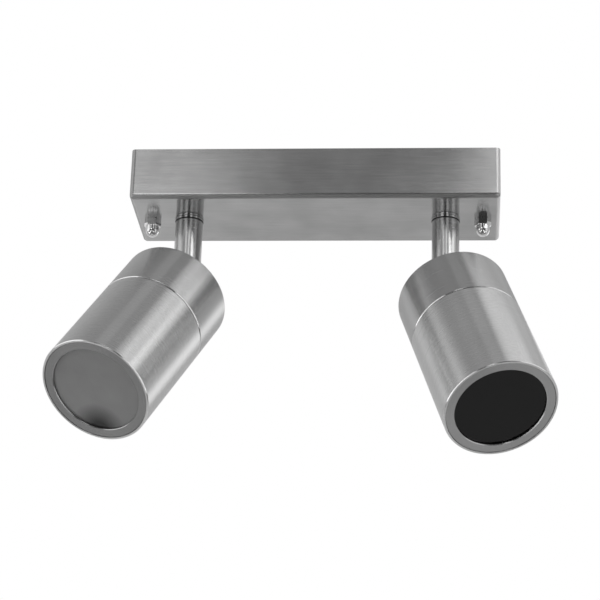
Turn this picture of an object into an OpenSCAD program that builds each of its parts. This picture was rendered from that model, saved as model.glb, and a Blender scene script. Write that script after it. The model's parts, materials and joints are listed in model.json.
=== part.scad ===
// Twin-head wall spotlight in brushed stainless steel, with swivelling and tilting heads.
// +X runs along the wall, +Z up the wall and +Y into the wall. The origin lies on the
// wall plane at the middle of the box. Pieces are drawn in local frames: in the wall
// frame z points away from the wall, and in an arm's frame z runs out along the arm.

/* [Wall box] */
// Width of the box along the wall
box_w = 200; // [190:1:240]
// Height of the box up the wall
box_h = 60; // [56:1:80]
// Depth of the box from the wall to its front face
box_d = 29; // [27:0.5:40]
// Thickness of the drawn sheet
box_wall = 1.2; // [0.8:0.1:1.6]
// Outside radius of the box's corners and front edges
box_r = 2.5; // [2:0.1:5]
// Width of the foam gasket inside the box's rim
gasket_w = 2.6; // [2:0.1:4]
// Depth of the foam gasket
gasket_t = 4; // [3:0.5:5]

/* [Wall bracket] */
// Height of the bracket strap
strap_h = 32; // [30:1:40]
// Thickness of the bracket strap
strap_t = 2; // [1.5:0.1:2.5]
// Height of the strap's folded edges above the strap
flange_h = 3; // [2:0.5:4]
// Gap from the strap's ends to the gasket
strap_play = 0.6; // [0.5:0.1:1]
// Width of the slots for the wall screws
slot_w = 5; // [4:0.1:6]
// Length of the slots for the wall screws, end to end
slot_l = 14; // [10:0.5:16]
// Distance from an arm's axis in to its nearest wall slot
slot_inset = 12.5; // [10:0.5:13]
// Bore of the cable grommet
cable_d = 9; // [7:0.5:10]
// Wall thickness of the cable grommet
grommet_wall = 2.2; // [1.5:0.1:3]
// Width of the grommet's flange round its neck
grommet_rim = 2; // [1.5:0.1:3]
// Thickness of the grommet's flange
grommet_t = 1.5; // [1:0.1:2]

/* [Fixing studs and dome nuts] */
// Thread diameter of the fixing studs
stud_d = 5; // [4:0.5:6]
// Distance from the end of the box to a stud
stud_edge = 9.25; // [8.75:0.25:12]
// Width across the flats of a dome nut
nut_flats = 8; // [7.5:0.5:10]
// Height of a dome nut's hexagon
nut_hex_h = 4; // [3:0.5:5]
// Height of a dome nut
nut_h = 10; // [9:0.5:12]
// Diameter of the dome
dome_d = 7.4; // [7:0.1:8]
// Depth of the dome nut's bore
nut_bore_h = 7.5; // [6:0.5:8]

/* [Arms] */
// Diameter of the arm rods
arm_d = 15; // [14:0.5:18]
// Distance from the end of the box to an arm's axis
arm_edge = 29.5; // [27:0.5:40]
// Height of the tilt pivot above the box's front face
pivot_h = 36; // [34:0.5:50]
// Diameter of the polished ring under the arm
base_ring_d = 15.6; // [15.2:0.1:20]
// Thickness of the polished ring under the arm
base_ring_t = 1.3; // [1.2:0.1:2.5]
// Thread diameter of the stem behind each arm
stem_d = 10; // [9:0.5:11]
// Width across the two flats of the stem
stem_flats = 8.8; // [8:0.1:9]
// Bore for the leads through stem, arm and knuckle
lead_bore_d = 6; // [5.4:0.1:6.4]

/* [Swivel bearing] */
// Outside diameter of the nylon slide washer
slide_d = 17; // [15:0.5:18]
// Thickness of the nylon slide washer
slide_t = 1; // [0.8:0.1:1.5]
// Outside diameter of the stop plate's disc
stop_d = 18; // [16:0.5:19]
// Thickness of the stop plate
stop_t = 1.2; // [1:0.1:1.5]
// Width of the stop plate's tab
tab_w = 1.8; // [1.5:0.1:2]
// Distance of the stop pin from the arm's axis
stop_pin_at = 11.5; // [11:0.1:13]
// Diameter of the stop pin
stop_pin_d = 1.6; // [1.2:0.1:1.8]
// Outside diameter of the disc spring
spring_d = 17; // [15:0.5:18]
// Sheet thickness of the disc spring
spring_t = 0.8; // [0.6:0.1:1.2]
// Height of the disc spring's cone
spring_cone = 0.5; // [0.3:0.1:0.8]
// Width across the flats of the stem nuts
stem_nut_flats = 14; // [13:0.5:15]
// Thickness of a stem nut
stem_nut_t = 3; // [2.5:0.1:4]
// Cord diameter of the O-ring round the stem
seal_cord_d = 1; // [0.8:0.05:1.1]

/* [Tilting knuckle] */
// Distance from the tilt pivot to the head's rear face
rear_gap = 15.3; // [14.5:0.1:20]
// Distance from the tilt pivot to the shoulder of each lap
lap_shoulder = 7.6; // [7.6:0.05:8]
// Distance from the middle plane to the knuckle's flat sides
knuckle_half = 6.9; // [6.5:0.1:7]
// Thread diameter of the pivot screw
pivot_d = 4; // [3.5:0.1:4.2]
// Diameter of the pivot screw's head
pivot_head_d = 7; // [6.5:0.1:7.4]
// Height of the pivot screw's head
pivot_head_h = 2.2; // [2:0.1:2.4]
// Width across the flats of the pivot nut
pivot_nut_flats = 7; // [6.5:0.1:7]
// Thickness of the pivot nut
pivot_nut_t = 2.2; // [1.8:0.1:2.4]
// Depth of the ring pocket in which the leads bend
pocket_h = 2; // [1.5:0.1:2.2]
// Outside diameter of the ring pocket
pocket_d = 11.4; // [11:0.1:12]
// Inside diameter of the ring pocket
pocket_core_d = 6.2; // [5.8:0.1:6.6]

/* [Heads] */
// Outside diameter of a head
head_d = 60; // [56:1:70]
// Length of a head
head_l = 95; // [90:1:130]
// Length of the rear housing up to the joint line
rear_l = 32; // [30:0.5:40]
// Width of the joint line
joint_w = 0.4; // [0.3:0.1:1]
// Depth of the joint line below the surface
joint_depth = 0.4; // [0.3:0.1:0.6]
// Wall thickness of the housings
housing_wall = 1.2; // [1:0.1:2]
// Thickness of the rear housing's end wall
rear_wall = 2.5; // [2:0.1:4]
// Radius of the rear edge
rear_edge_r = 0.8; // [0.4:0.1:1]
// Length of the spigot on which the front housing slides
spigot_l = 9; // [6:0.5:12]
// Wall thickness of that spigot
spigot_wall = 1.6; // [1:0.1:2.5]
// Opening of the bezel
bezel_open_d = 48; // [44:0.5:50]
// Thickness of the bezel
bezel_t = 1; // [0.8:0.1:4]
// Depth of the bezel below the tube's edge
bezel_recess = 0.3; // [0.2:0.1:1]
// Chamfer on the bezel's edges
bezel_chamfer = 0.35; // [0.2:0.05:0.6]
// Diameter of the glass
glass_d = 54.6; // [53:0.1:55]
// Thickness of the glass
glass_t = 4; // [3:0.1:5]
// Thickness of the flat seal between bezel and glass
glass_seal_t = 0.4; // [0.3:0.1:1.5]
// Opening of the shoulder that carries the glass
seat_open_d = 51.4; // [50.5:0.1:52]
// Thickness of the shoulder that carries the glass
seat_t = 2; // [1.5:0.1:3]

/* [Lampholder] */
// Width of the holder bracket
holder_strap_w = 14; // [12:0.5:16]
// Sheet thickness of the holder bracket
holder_strap_t = 1; // [0.8:0.1:1.5]
// Height of the holder bracket
holder_strap_h = 17; // [14:0.5:20]
// Outside bend radius of the holder bracket
holder_bend_r = 2; // [1.6:0.1:2.5]
// Length of the ceramic holder's flange
holder_l = 32; // [31:0.5:34]
// Width of the ceramic holder
holder_w = 18; // [17:0.5:20]
// Height of the ceramic holder's flange
holder_flange_h = 6; // [4:0.5:8]
// Height of the ceramic holder above its flange
holder_body_h = 12; // [10:0.5:15]
// Width of the ceramic holder above its flange
holder_body_l = 19; // [18.6:0.1:19.4]
// Corner radius of the ceramic holder
holder_r = 6; // [4:0.5:7]
// Distance between the lamp's two pins
lamp_pin_pitch = 10; // [9.8:0.1:10.2]
// Diameter of the entries for the lamp's pin heads
lamp_pin_d = 5.4; // [5.2:0.1:5.6]
// Width of the slots into which the pins turn
lamp_slot_w = 3.2; // [3:0.1:3.6]
// Depth of the lamp's pin entries
lamp_pin_depth = 9; // [8:0.5:10]
// Distance between the holder's two screws
holder_screw_pitch = 25.4; // [25:0.1:26]
// Thread diameter of the M3 screws
m3_d = 3; // [2.5:0.1:3]
// Diameter of an M3 screw's head
m3_head_d = 5.2; // [4.8:0.1:5.4]
// Height of an M3 screw's head
m3_head_h = 1.8; // [1.5:0.1:2.2]

/* [Terminal block and earth] */
// Distance between two poles of the terminal block
pole_pitch = 11; // [11:0.1:12]
// Length of the terminal block along its wire holes
block_l = 20; // [18:0.5:22]
// Height of the terminal block to the top of its screw towers
block_h = 15; // [14:0.5:16]
// Height of the web between two poles
web_h = 7.7; // [7.6:0.1:8]
// Height of the wire holes above the strap
wire_h = 5; // [4.8:0.1:5.2]
// Outside diameter of a brass insert
insert_d = 5.6; // [5.4:0.1:5.8]
// Bore of a brass insert
insert_bore_d = 4; // [3.9:0.1:4.2]
// Plastic round a brass insert
pole_wall = 1.1; // [0.9:0.1:1.2]
// Diameter of a terminal screw
terminal_screw_d = 3.4; // [3:0.1:3.6]
// Distance between the two screws of a pole
terminal_screw_pitch = 11; // [10:0.5:12]
// Gap from the grommet to the terminal block
block_gap = 3; // [2:0.5:5]
// Place of the earth screw to the right of the middle
earth_at = 30; // [28:1:36]
// Thread diameter of the earth screw
earth_screw_d = 4; // [3.5:0.1:4.5]
// Diameter of the earth screw's head
earth_head_d = 7.6; // [7:0.1:8]
// Height of the earth screw's head
earth_head_h = 2.6; // [2:0.1:3]
// Outside diameter of the earth tag's ring
tag_d = 8.4; // [8:0.1:9]
// Sheet thickness of the earth tag
tag_t = 0.8; // [0.5:0.1:1]
// Outside diameter of a single lead
lead_d = 1.8; // [1.5:0.1:1.8]
// Outside diameter of the sleeve round the leads
sleeve_d = 4.8; // [4.6:0.1:5]

/* [Pose of the heads, in degrees] */
// Direction in which the left head leans, from right, upwards
left_swivel = 120.5; // [-80:0.5:260]
// Tilt of the left head from straight out
left_tilt = 39.2; // [0:0.1:90]
// Direction in which the right head leans, from right, upwards
right_swivel = 62; // [-80:0.5:260]
// Tilt of the right head from straight out
right_tilt = 33.4; // [0:0.1:90]

/* [Hidden] */
$fn = 48;

// How far a cut runs past the face that it opens
over = 1;
// Radial play of a shaft in its hole, and of pieces that slip into each other
fit_gap = 0.05;
// Play between two flat faces that slide on each other
face_gap = 0.1;
// Play between pieces that don't touch
part_gap = 0.3;

// Places along the wall
arm_x = box_w / 2 - arm_edge;
stud_x = box_w / 2 - stud_edge;
slot_x = arm_x - slot_inset;
box_inner_w = box_w - 2 * box_wall;
box_inner_h = box_h - 2 * box_wall;
box_inner_r = box_r - box_wall;
strap_w = box_inner_w - 2 * gasket_w - 2 * strap_play;
// Radius of the strap's corners
strap_r = 3;
// Angle of the bevel on a nut's corners
nut_bevel_angle = 30;

// Bracket studs: their clinched heads and their reach into the dome nuts
clinch_lip = 0.8;
clinch_d = stud_d + 2 * clinch_lip;
clinch_t = strap_t / 2;
stud_reach = nut_bore_h - 2 * part_gap;
// Bevel on a stud's tip
stud_bevel = 0.6;

// Stem: the stack behind the box's front sheet, measured down from the front face
slide_z = -box_wall - slide_t;
stop_z = slide_z - face_gap - stop_t;
spring_z = stop_z - spring_t - spring_cone;
stem_nuts_z = spring_z - 2 * stem_nut_t;
// Thread left showing past a nut
thread_end = 1;
stem_end_z = stem_nuts_z - thread_end;
// Length of sleeve that shows past a stem
sleeve_end = 2;

arm_r = arm_d / 2;
stem_r = stem_d / 2;
bore_r = lead_bore_d / 2;
seal_mid_r = stem_r + fit_gap + seal_cord_d / 2;
// Overlap of the stop plate's tab with the stop pin, counted outwards
tab_past_pin = 1;

// Knuckle
pivot_r = pivot_d / 2;
head_seat = knuckle_half - pivot_head_h;
nut_seat = knuckle_half - pivot_nut_t;
// Width and depth of the hexagon socket in the pivot screw
socket_flats = 2.5;
socket_h = 1.4;
spigot_r = stem_r;
knuckle_nut_t = stem_nut_t;
spigot_end = rear_wall + holder_strap_t + knuckle_nut_t + thread_end;

// Head, measured forwards from its rear face
head_r = head_d / 2;
tube_inner_r = head_r - housing_wall;
spigot_outer_r = tube_inner_r - fit_gap;
spigot_inner_r = spigot_outer_r - spigot_wall;
bezel_z = head_l - bezel_recess - bezel_t;
glass_seal_z = bezel_z - glass_seal_t;
glass_z = glass_seal_z - glass_t;
seat_z = glass_z - seat_t;
// Bevel along both sides of the joint line and on the tube's front edge
joint_bevel = 0.35;

// Lampholder, measured forwards from the head's rear face
bracket_z = rear_wall;
holder_z = bracket_z + holder_strap_h;
tab_share = 0.7;
bracket_gap_w = holder_screw_pitch * tab_share;
// Depth of the screw seats in the ceramic flange
screw_sink = 1;
// Reach of a holder screw past the bracket
screw_end = 1.5;
// Angle through which the lamp's pins turn
lamp_turn = 40;

// Terminal block: it stands on the strap, to the left of the grommet
grommet_neck_r = cable_d / 2 + grommet_wall;
grommet_rim_r = grommet_neck_r + grommet_rim;
pole_r = insert_d / 2 + pole_wall;
block_w = 3 * pole_pitch;
block_x = -(grommet_rim_r + block_gap + block_w / 2);
wire_z = strap_t + wire_h;
// Plastic round a terminal screw
tower_wall = 1.3;
tower_r = terminal_screw_d / 2 + tower_wall;
// Depth of the inserts behind the block's ends
insert_set_back = 1;
// Slot across a terminal screw or an earth screw
drive_slot_w = 0.8;
drive_slot_h = 0.9;
// Depth of the terminal screws in their towers
terminal_screw_sink = 1.5;

// Earth tag
tag_barrel_d = 3.4;
tag_barrel_l = 6;
tag_neck_l = 2;
tag_neck_w = 3;

// Leads inside the box
lead_r = lead_d / 2;
sleeve_r = sleeve_d / 2;
// Distance of each lead from the middle of its sleeve
lead_off = 1.2;
// Sideways step of two leads that share a terminal
pair_off = 0.95;
// Height of the left and the right leads above the wall
left_lane_z = 6.6;
right_lane_z = 9.2;
// First lane below the terminal block, and the step to the next
lane_first = 4.5;
lane_step = 2.5;
// Sideways step of the leads where they leave an arm
fan_step = 2.4;
// Height at which the outer and the middle lead turn, as a share of where they start
outer_turn_share = 0.8;
middle_turn_share = 0.56;
// Directions in which the leads stand round the arm's axis, lane by lane
lane_angles = [-30, 90, 210];
// Direction in which the first ring of a lead starts, off every run's own direction
first_side = [0, 1, 0.2];
// Length of a lead inside its terminal
lead_in = 3;
// Distance from a lead's corner to the start of its bend
lead_bend = 2;
lead_sides = 8;
lead_steps = 4;

steel = "silver";
polished = "gainsboro";
dark_rubber = [0.12, 0.12, 0.13];

// Frames

module from_wall() {
    rotate([90, 0, 0])
        children();
}

module at_arm(side) {
    from_wall()
        translate([side * arm_x, 0, box_d])
            rotate([0, 0, side < 0 ? left_swivel : right_swivel])
                children();
}

module at_pivot(side) {
    at_arm(side)
        translate([0, 0, pivot_h])
            rotate([0, side < 0 ? left_tilt : right_tilt, 0])
                children();
}

module at_head(side) {
    at_pivot(side)
        translate([0, 0, rear_gap])
            children();
}

module at_both(x) {
    from_wall()
        for (side = [-1, 1])
            translate([side * x, 0, 0])
                children();
}

// Shared shapes

function corner_r(flats) = flats / 2 / cos(180 / 6);

module up(z) {
    translate([0, 0, z])
        children();
}

module rounded_rectangle(w, h, r) {
    square([w - 2 * r, h], center = true);
    square([w, h - 2 * r], center = true);
    for (x = [-1, 1], y = [-1, 1])
        translate([x * (w / 2 - r), y * (h / 2 - r)])
            circle(r);
}

// Block with round corners and a round front edge, standing on its open side.
module round_fronted_block(w, h, d, r) {
    linear_extrude(d - r)
        rounded_rectangle(w, h, r);
    linear_extrude(d)
        square([w - 2 * r, h - 2 * r], center = true);
    for (y = [-1, 1])
        translate([0, y * (h / 2 - r), d - r])
            rotate([0, 90, 0])
                cylinder(h = w - 2 * r, r = r, center = true);
    for (x = [-1, 1])
        translate([x * (w / 2 - r), 0, d - r])
            rotate([90, 0, 0])
                cylinder(h = h - 2 * r, r = r, center = true);
    for (x = [-1, 1], y = [-1, 1])
        translate([x * (w / 2 - r), y * (h / 2 - r), d - r])
            sphere(r);
}

module ring(outer_r, inner_r, t) {
    difference() {
        cylinder(h = t, r = outer_r);
        up(-over)
            cylinder(h = t + 2 * over, r = inner_r);
    }
}

// Hexagon prism with its corners bevelled at both ends.
module hexagon_block(flats, t) {
    corner = corner_r(flats);
    bevel = (corner - flats / 2) * tan(nut_bevel_angle);
    intersection() {
        cylinder(h = t, r = corner, $fn = 6);
        rotate_extrude()
            polygon([
                [0, 0],
                [flats / 2, 0],
                [corner, bevel],
                [corner, t - bevel],
                [flats / 2, t],
                [0, t]
            ]);
    }
}

module hexagon_nut(flats, t, thread_r) {
    difference() {
        hexagon_block(flats, t);
        up(-over)
            cylinder(h = t + 2 * over, r = thread_r + fit_gap);
    }
}

// Slotted pan-head screw: its thread points down from the seat at z = 0.
module slotted_screw(thread_d, thread_l, head_d, head_h) {
    difference() {
        union() {
            up(-thread_l)
                cylinder(h = thread_l + head_h / 2, r = thread_d / 2);
            cylinder(h = head_h / 2, r = head_d / 2);
            up(head_h / 2)
                cylinder(h = head_h / 2, r1 = head_d / 2, r2 = head_d / 2 - head_h / 4);
        }
        up(head_h - drive_slot_h)
            translate([-head_d / 2 - over, -drive_slot_w / 2, 0])
                cube([head_d + 2 * over, drive_slot_w, head_h]);
    }
}

// Leads: round tubes along straight runs with curved corners

function unit(v) = v / norm(v);

function corner_curve(p, i) =
    let (
        a = p[i] + unit(p[i - 1] - p[i]) * lead_bend,
        b = p[i] + unit(p[i + 1] - p[i]) * lead_bend
    )
    [for (k = [0 : lead_steps])
        let (t = k / lead_steps)
            a * (1 - t) * (1 - t) + p[i] * 2 * t * (1 - t) + b * t * t];

function lead_path(p) = [
    p[0],
    for (i = [1 : len(p) - 2])
        for (q = corner_curve(p, i))
            q,
    p[len(p) - 1]
];

function path_directions(q) = [
    for (i = [0 : len(q) - 1])
        unit(q[min(i + 1, len(q) - 1)] - q[max(i - 1, 0)])
];

// Sideways direction carried from ring to ring without twist.
function carried(side_way, directions, i = 0) =
    i == len(directions) ? [] :
    let (v = unit(side_way - (side_way * directions[i]) * directions[i]))
    concat([v], carried(v, directions, i + 1));

module lead(p) {
    q = lead_path(p);
    along = path_directions(q);
    across = carried(first_side, along);
    points = [
        for (i = [0 : len(q) - 1])
            for (k = [0 : lead_sides - 1])
                let (a = 360 * k / lead_sides)
                    q[i] + lead_r * (cos(a) * across[i] + sin(a) * cross(along[i], across[i]))
    ];
    walls = [
        for (i = [0 : len(q) - 2])
            for (k = [0 : lead_sides - 1])
                let (
                    a = i * lead_sides + k,
                    b = i * lead_sides + (k + 1) % lead_sides
                )
                for (face = [[a, a + lead_sides, b], [b, a + lead_sides, b + lead_sides]])
                    face
    ];
    last = (len(q) - 1) * lead_sides;
    ends = [
        for (k = [1 : lead_sides - 2])
            for (face = [[0, k, k + 1], [last, last + k + 1, last + k]])
                face
    ];
    polyhedron(points, concat(walls, ends));
}

// Wall side

module back_box() {
    color(steel)
        from_wall()
            difference() {
                round_fronted_block(box_w, box_h, box_d, box_r);
                up(-over)
                    round_fronted_block(
                        box_inner_w, box_inner_h, box_d - box_wall + over, box_inner_r);
                for (side = [-1, 1]) {
                    translate([side * stud_x, 0, 0])
                        cylinder(h = box_d + over, r = stud_d / 2 + part_gap);
                    translate([side * arm_x, 0, 0])
                        cylinder(h = box_d + over, r = stem_r + fit_gap);
                }
            }
}

module wall_gasket() {
    color(dark_rubber)
        from_wall()
            linear_extrude(gasket_t)
                difference() {
                    rounded_rectangle(box_inner_w, box_inner_h, box_inner_r);
                    square([box_inner_w - 2 * gasket_w, box_inner_h - 2 * gasket_w], center = true);
                }
}

module strap_outline() {
    difference() {
        rounded_rectangle(strap_w, strap_h, strap_r);
        circle(grommet_neck_r);
        for (side = [-1, 1])
            translate([side * slot_x, 0]) {
                square([slot_l - slot_w, slot_w], center = true);
                for (end = [-1, 1])
                    translate([end * (slot_l - slot_w) / 2, 0])
                        circle(slot_w / 2);
            }
        translate([block_x + pole_pitch / 2, 0])
            circle(m3_d / 2 + fit_gap);
        translate([earth_at, 0])
            circle(earth_screw_d / 2 + fit_gap);
    }
}

module wall_bracket() {
    color("lightgray")
        from_wall()
            difference() {
                union() {
                    linear_extrude(strap_t)
                        strap_outline();
                    for (side = [-1, 1])
                        translate([0, side * (strap_h - strap_t) / 2, (strap_t + flange_h) / 2])
                            cube([strap_w - 2 * strap_r, strap_t, strap_t + flange_h], center = true);
                }
                for (side = [-1, 1])
                    translate([side * stud_x, 0, 0]) {
                        up(-over)
                            cylinder(h = strap_t + 2 * over, r = stud_d / 2);
                        up(-over)
                            cylinder(h = clinch_t + over, r = clinch_d / 2);
                    }
            }
}

module bracket_studs() {
    color("lightgray")
        at_both(stud_x) {
            cylinder(h = clinch_t, r = clinch_d / 2);
            cylinder(h = box_d + stud_reach - stud_bevel, r = stud_d / 2);
            up(box_d + stud_reach - stud_bevel)
                cylinder(h = stud_bevel, r1 = stud_d / 2, r2 = stud_d / 2 - stud_bevel);
        }
}

module dome_nuts() {
    dome_r = dome_d / 2;
    color(polished)
        at_both(stud_x)
            up(box_d)
                difference() {
                    union() {
                        hexagon_block(nut_flats, nut_hex_h);
                        cylinder(h = nut_h - dome_r, r = dome_r);
                        up(nut_h - dome_r)
                            sphere(dome_r);
                    }
                    up(-over)
                        cylinder(h = nut_bore_h + over, r = stud_d / 2 + fit_gap);
                }
}

module cable_grommet() {
    color(dark_rubber)
        from_wall()
            difference() {
                union() {
                    cylinder(h = strap_t + grommet_t, r = grommet_neck_r);
                    up(strap_t)
                        cylinder(h = grommet_t, r = grommet_rim_r);
                }
                up(-over)
                    cylinder(h = strap_t + grommet_t + 2 * over, r = cable_d / 2);
            }
}

// Terminal block and earth

module at_block() {
    from_wall()
        translate([block_x, 0, strap_t])
            children();
}

module at_poles() {
    at_block()
        for (pole = [-1 : 1])
            translate([pole * pole_pitch, 0, 0])
                children();
}

module lengthwise(l, r) {
    translate([0, l / 2, wire_h])
        rotate([90, 0, 0])
            cylinder(h = l, r = r);
}

module terminal_block() {
    color("white")
        difference() {
            union() {
                at_block()
                    translate([-block_w / 2 + pole_wall, -block_l / 2 + pole_wall, 0])
                        cube([block_w - 2 * pole_wall, block_l - 2 * pole_wall, web_h]);
                at_poles() {
                    lengthwise(block_l, pole_r);
                    for (side = [-1, 1])
                        translate([0, side * terminal_screw_pitch / 2, wire_h])
                            cylinder(h = block_h - wire_h, r = tower_r);
                }
            }
            at_poles() {
                lengthwise(block_l + 2 * over, insert_d / 2);
                for (side = [-1, 1])
                    translate([0, side * terminal_screw_pitch / 2, wire_h])
                        cylinder(h = block_h, r = terminal_screw_d / 2 + fit_gap);
            }
            at_block()
                translate([pole_pitch / 2, 0, -over])
                    cylinder(h = web_h + 2 * over, r = m3_d / 2 + fit_gap);
        }
}

module terminal_inserts() {
    color("goldenrod")
        at_poles()
            difference() {
                lengthwise(block_l - 2 * insert_set_back, insert_d / 2);
                lengthwise(block_l, insert_bore_d / 2);
                for (side = [-1, 1])
                    translate([0, side * terminal_screw_pitch / 2, wire_h])
                        cylinder(h = insert_d, r = terminal_screw_d / 2 + fit_gap);
            }
}

module terminal_screws() {
    screw_foot = wire_h + lead_r + face_gap;
    screw_l = block_h - terminal_screw_sink - screw_foot;
    color("lightgray")
        at_poles()
            for (side = [-1, 1])
                translate([0, side * terminal_screw_pitch / 2, screw_foot])
                    difference() {
                        cylinder(h = screw_l, r = terminal_screw_d / 2);
                        translate([-terminal_screw_d, -drive_slot_w / 2, screw_l - drive_slot_h])
                            cube([2 * terminal_screw_d, drive_slot_w, 2 * drive_slot_h]);
                    }
}

module block_screw() {
    color("lightgray")
        at_block()
            translate([pole_pitch / 2, 0, web_h])
                slotted_screw(m3_d, web_h + strap_t, m3_head_d, m3_head_h);
}

module earth_screw() {
    color("lightgray")
        from_wall()
            translate([earth_at, 0, strap_t + tag_t])
                slotted_screw(earth_screw_d, strap_t + tag_t, earth_head_d, earth_head_h);
}

module earth_tag() {
    barrel_x = -tag_d / 2 - tag_neck_l;
    color("goldenrod")
        from_wall()
            translate([earth_at, 0, strap_t])
                difference() {
                    union() {
                        cylinder(h = tag_t, r = tag_d / 2);
                        translate([barrel_x - tag_barrel_l / 2, -tag_neck_w / 2, 0])
                            cube([tag_barrel_l / 2 + tag_neck_l + tag_d / 2, tag_neck_w, tag_t]);
                        translate([barrel_x, 0, tag_barrel_d / 2])
                            rotate([0, -90, 0])
                                cylinder(h = tag_barrel_l, r = tag_barrel_d / 2);
                    }
                    up(-over)
                        cylinder(h = tag_t + 2 * over, r = earth_screw_d / 2 + fit_gap);
                    translate([barrel_x + over, 0, tag_barrel_d / 2])
                        rotate([0, -90, 0])
                            cylinder(h = tag_barrel_l + 2 * over, r = lead_r + fit_gap);
                }
}

// One lead from an arm to a pole. Lane 0 lies next to the block and lane 2 farthest.
module arm_lead(side, pole, lane) {
    start_angle = lane_angles[lane];
    start_z = box_d + stem_end_z - sleeve_end - part_gap;
    turn_share = lane == 1 ? middle_turn_share : outer_turn_share;
    lane_y = -(block_l / 2 + lane_first + lane * lane_step);
    lane_z = side < 0 ? left_lane_z : right_lane_z;
    start_x = side * (arm_x - lead_off * cos(start_angle));
    start_y = lead_off * sin(start_angle);
    pole_x = block_x + pole * pole_pitch + side * pair_off;
    lead([
        [start_x, start_y, start_z],
        [start_x, start_y, start_z * turn_share],
        [side * (arm_x - (1 - lane) * fan_step), lane_y, lane_z],
        [pole_x, lane_y, lane_z],
        [pole_x, -block_l / 2 + lead_in, wire_z]
    ]);
}

module live_leads() {
    color("saddlebrown")
        from_wall() {
            arm_lead(-1, -1, 0);
            arm_lead(1, -1, 2);
        }
}

module neutral_leads() {
    color("royalblue")
        from_wall() {
            arm_lead(-1, 0, 1);
            arm_lead(1, 0, 1);
        }
}

module earth_leads() {
    earth_x = block_x + pole_pitch;
    upper_lane_y = block_l / 2 + lane_first;
    tag_end_x = earth_at - tag_d / 2 - tag_neck_l - tag_barrel_l;
    tag_z = strap_t + tag_barrel_d / 2;
    color("yellowgreen")
        from_wall() {
            arm_lead(-1, 1, 2);
            arm_lead(1, 1, 0);
            lead([
                [earth_x, block_l / 2 - lead_in, wire_z],
                [earth_x, upper_lane_y, wire_z + lead_bend],
                [tag_end_x - 2 * lead_bend, upper_lane_y, wire_z + lead_bend],
                [tag_end_x - 2 * lead_bend, 0, tag_z],
                [tag_end_x + lead_in, 0, tag_z]
            ]);
        }
}

// Swivel bearing behind the box's front sheet

module slide_washers() {
    color("white")
        at_both(arm_x)
            up(box_d + slide_z)
                ring(slide_d / 2, stem_r + fit_gap, slide_t);
}

module stop_pins() {
    pin_l = slide_t + face_gap + stop_t + part_gap;
    color("lightgray")
        at_both(arm_x)
            translate([0, -stop_pin_at, box_d - box_wall - pin_l])
                cylinder(h = pin_l, r = stop_pin_d / 2);
}

module stem_seals() {
    color(dark_rubber)
        at_both(arm_x)
            up(box_d + seal_cord_d / 2)
                rotate_extrude()
                    translate([seal_mid_r, 0])
                        circle(seal_cord_d / 2);
}

module stem_flats_outline(play) {
    intersection() {
        circle(stem_r + play);
        square([2 * stem_d, stem_flats + 2 * play], center = true);
    }
}

module stop_plate() {
    color("lightgray")
        up(stop_z)
            linear_extrude(stop_t)
                difference() {
                    union() {
                        circle(stop_d / 2);
                        translate([0, -tab_w / 2])
                            square([stop_pin_at + tab_past_pin, tab_w]);
                    }
                    stem_flats_outline(fit_gap);
                }
}

module disc_spring() {
    inner_r = stem_r + 2 * fit_gap;
    outer_r = spring_d / 2;
    color("gray")
        up(spring_z)
            rotate_extrude()
                polygon([
                    [inner_r, 0],
                    [outer_r, spring_cone],
                    [outer_r, spring_cone + spring_t],
                    [inner_r, spring_t]
                ]);
}

module stem_nuts() {
    color("lightgray")
        for (k = [0, 1])
            up(stem_nuts_z + k * stem_nut_t)
                hexagon_nut(stem_nut_flats, stem_nut_t, stem_r);
}

// Arms

module base_ring() {
    color(polished)
        up(face_gap)
            ring(base_ring_d / 2, seal_mid_r + seal_cord_d / 2 + fit_gap, base_ring_t - face_gap);
}

// The rod cut down to one side of its middle plane, with a round end on the side
// towards which the head tilts and a square corner that stops it at straight out.
module knuckle_lap() {
    intersection() {
        up(-lap_shoulder - over)
            cylinder(h = lap_shoulder + over + arm_r, r = arm_r);
        translate([0, knuckle_half, 0])
            rotate([90, 0, 0])
                linear_extrude(knuckle_half - face_gap / 2) {
                    circle(arm_r);
                    translate([-arm_r, 0])
                        square(arm_r);
                    translate([-arm_r, -lap_shoulder - over])
                        square([arm_d, lap_shoulder + over]);
                }
    }
}

// What is cut from each lap: the pivot hole, and the ring pocket and channel for the leads.
module knuckle_cuts() {
    rotate([90, 0, 0]) {
        cylinder(h = arm_d, r = pivot_r + fit_gap, center = true);
        difference() {
            cylinder(h = 2 * pocket_h, r = pocket_d / 2, center = true);
            cylinder(h = 2 * pocket_h + over, r = pocket_core_d / 2, center = true);
        }
    }
    up(-lap_shoulder - over)
        cylinder(h = lap_shoulder + over - pocket_core_d / 2 - fit_gap, r = bore_r);
}

module arm() {
    color(steel)
        difference() {
            union() {
                up(base_ring_t)
                    cylinder(h = pivot_h - lap_shoulder - base_ring_t, r = arm_r);
                up(slide_z)
                    cylinder(h = base_ring_t - slide_z + over, r = stem_r);
                up(stem_end_z)
                    linear_extrude(slide_z - stem_end_z + over)
                        stem_flats_outline(0);
                up(pivot_h)
                    knuckle_lap();
            }
            up(stem_end_z - over)
                cylinder(h = pivot_h - lap_shoulder - stem_end_z + over, r = bore_r);
            up(pivot_h)
                knuckle_cuts();
            translate([0, head_seat, pivot_h])
                rotate([-90, 0, 0])
                    cylinder(h = arm_d, r = pivot_head_d / 2 + fit_gap);
        }
}

module arm_leads() {
    color("white")
        up(stem_end_z - sleeve_end)
            cylinder(h = pivot_h - lap_shoulder - stem_end_z + sleeve_end - part_gap, r = sleeve_r);
}

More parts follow.
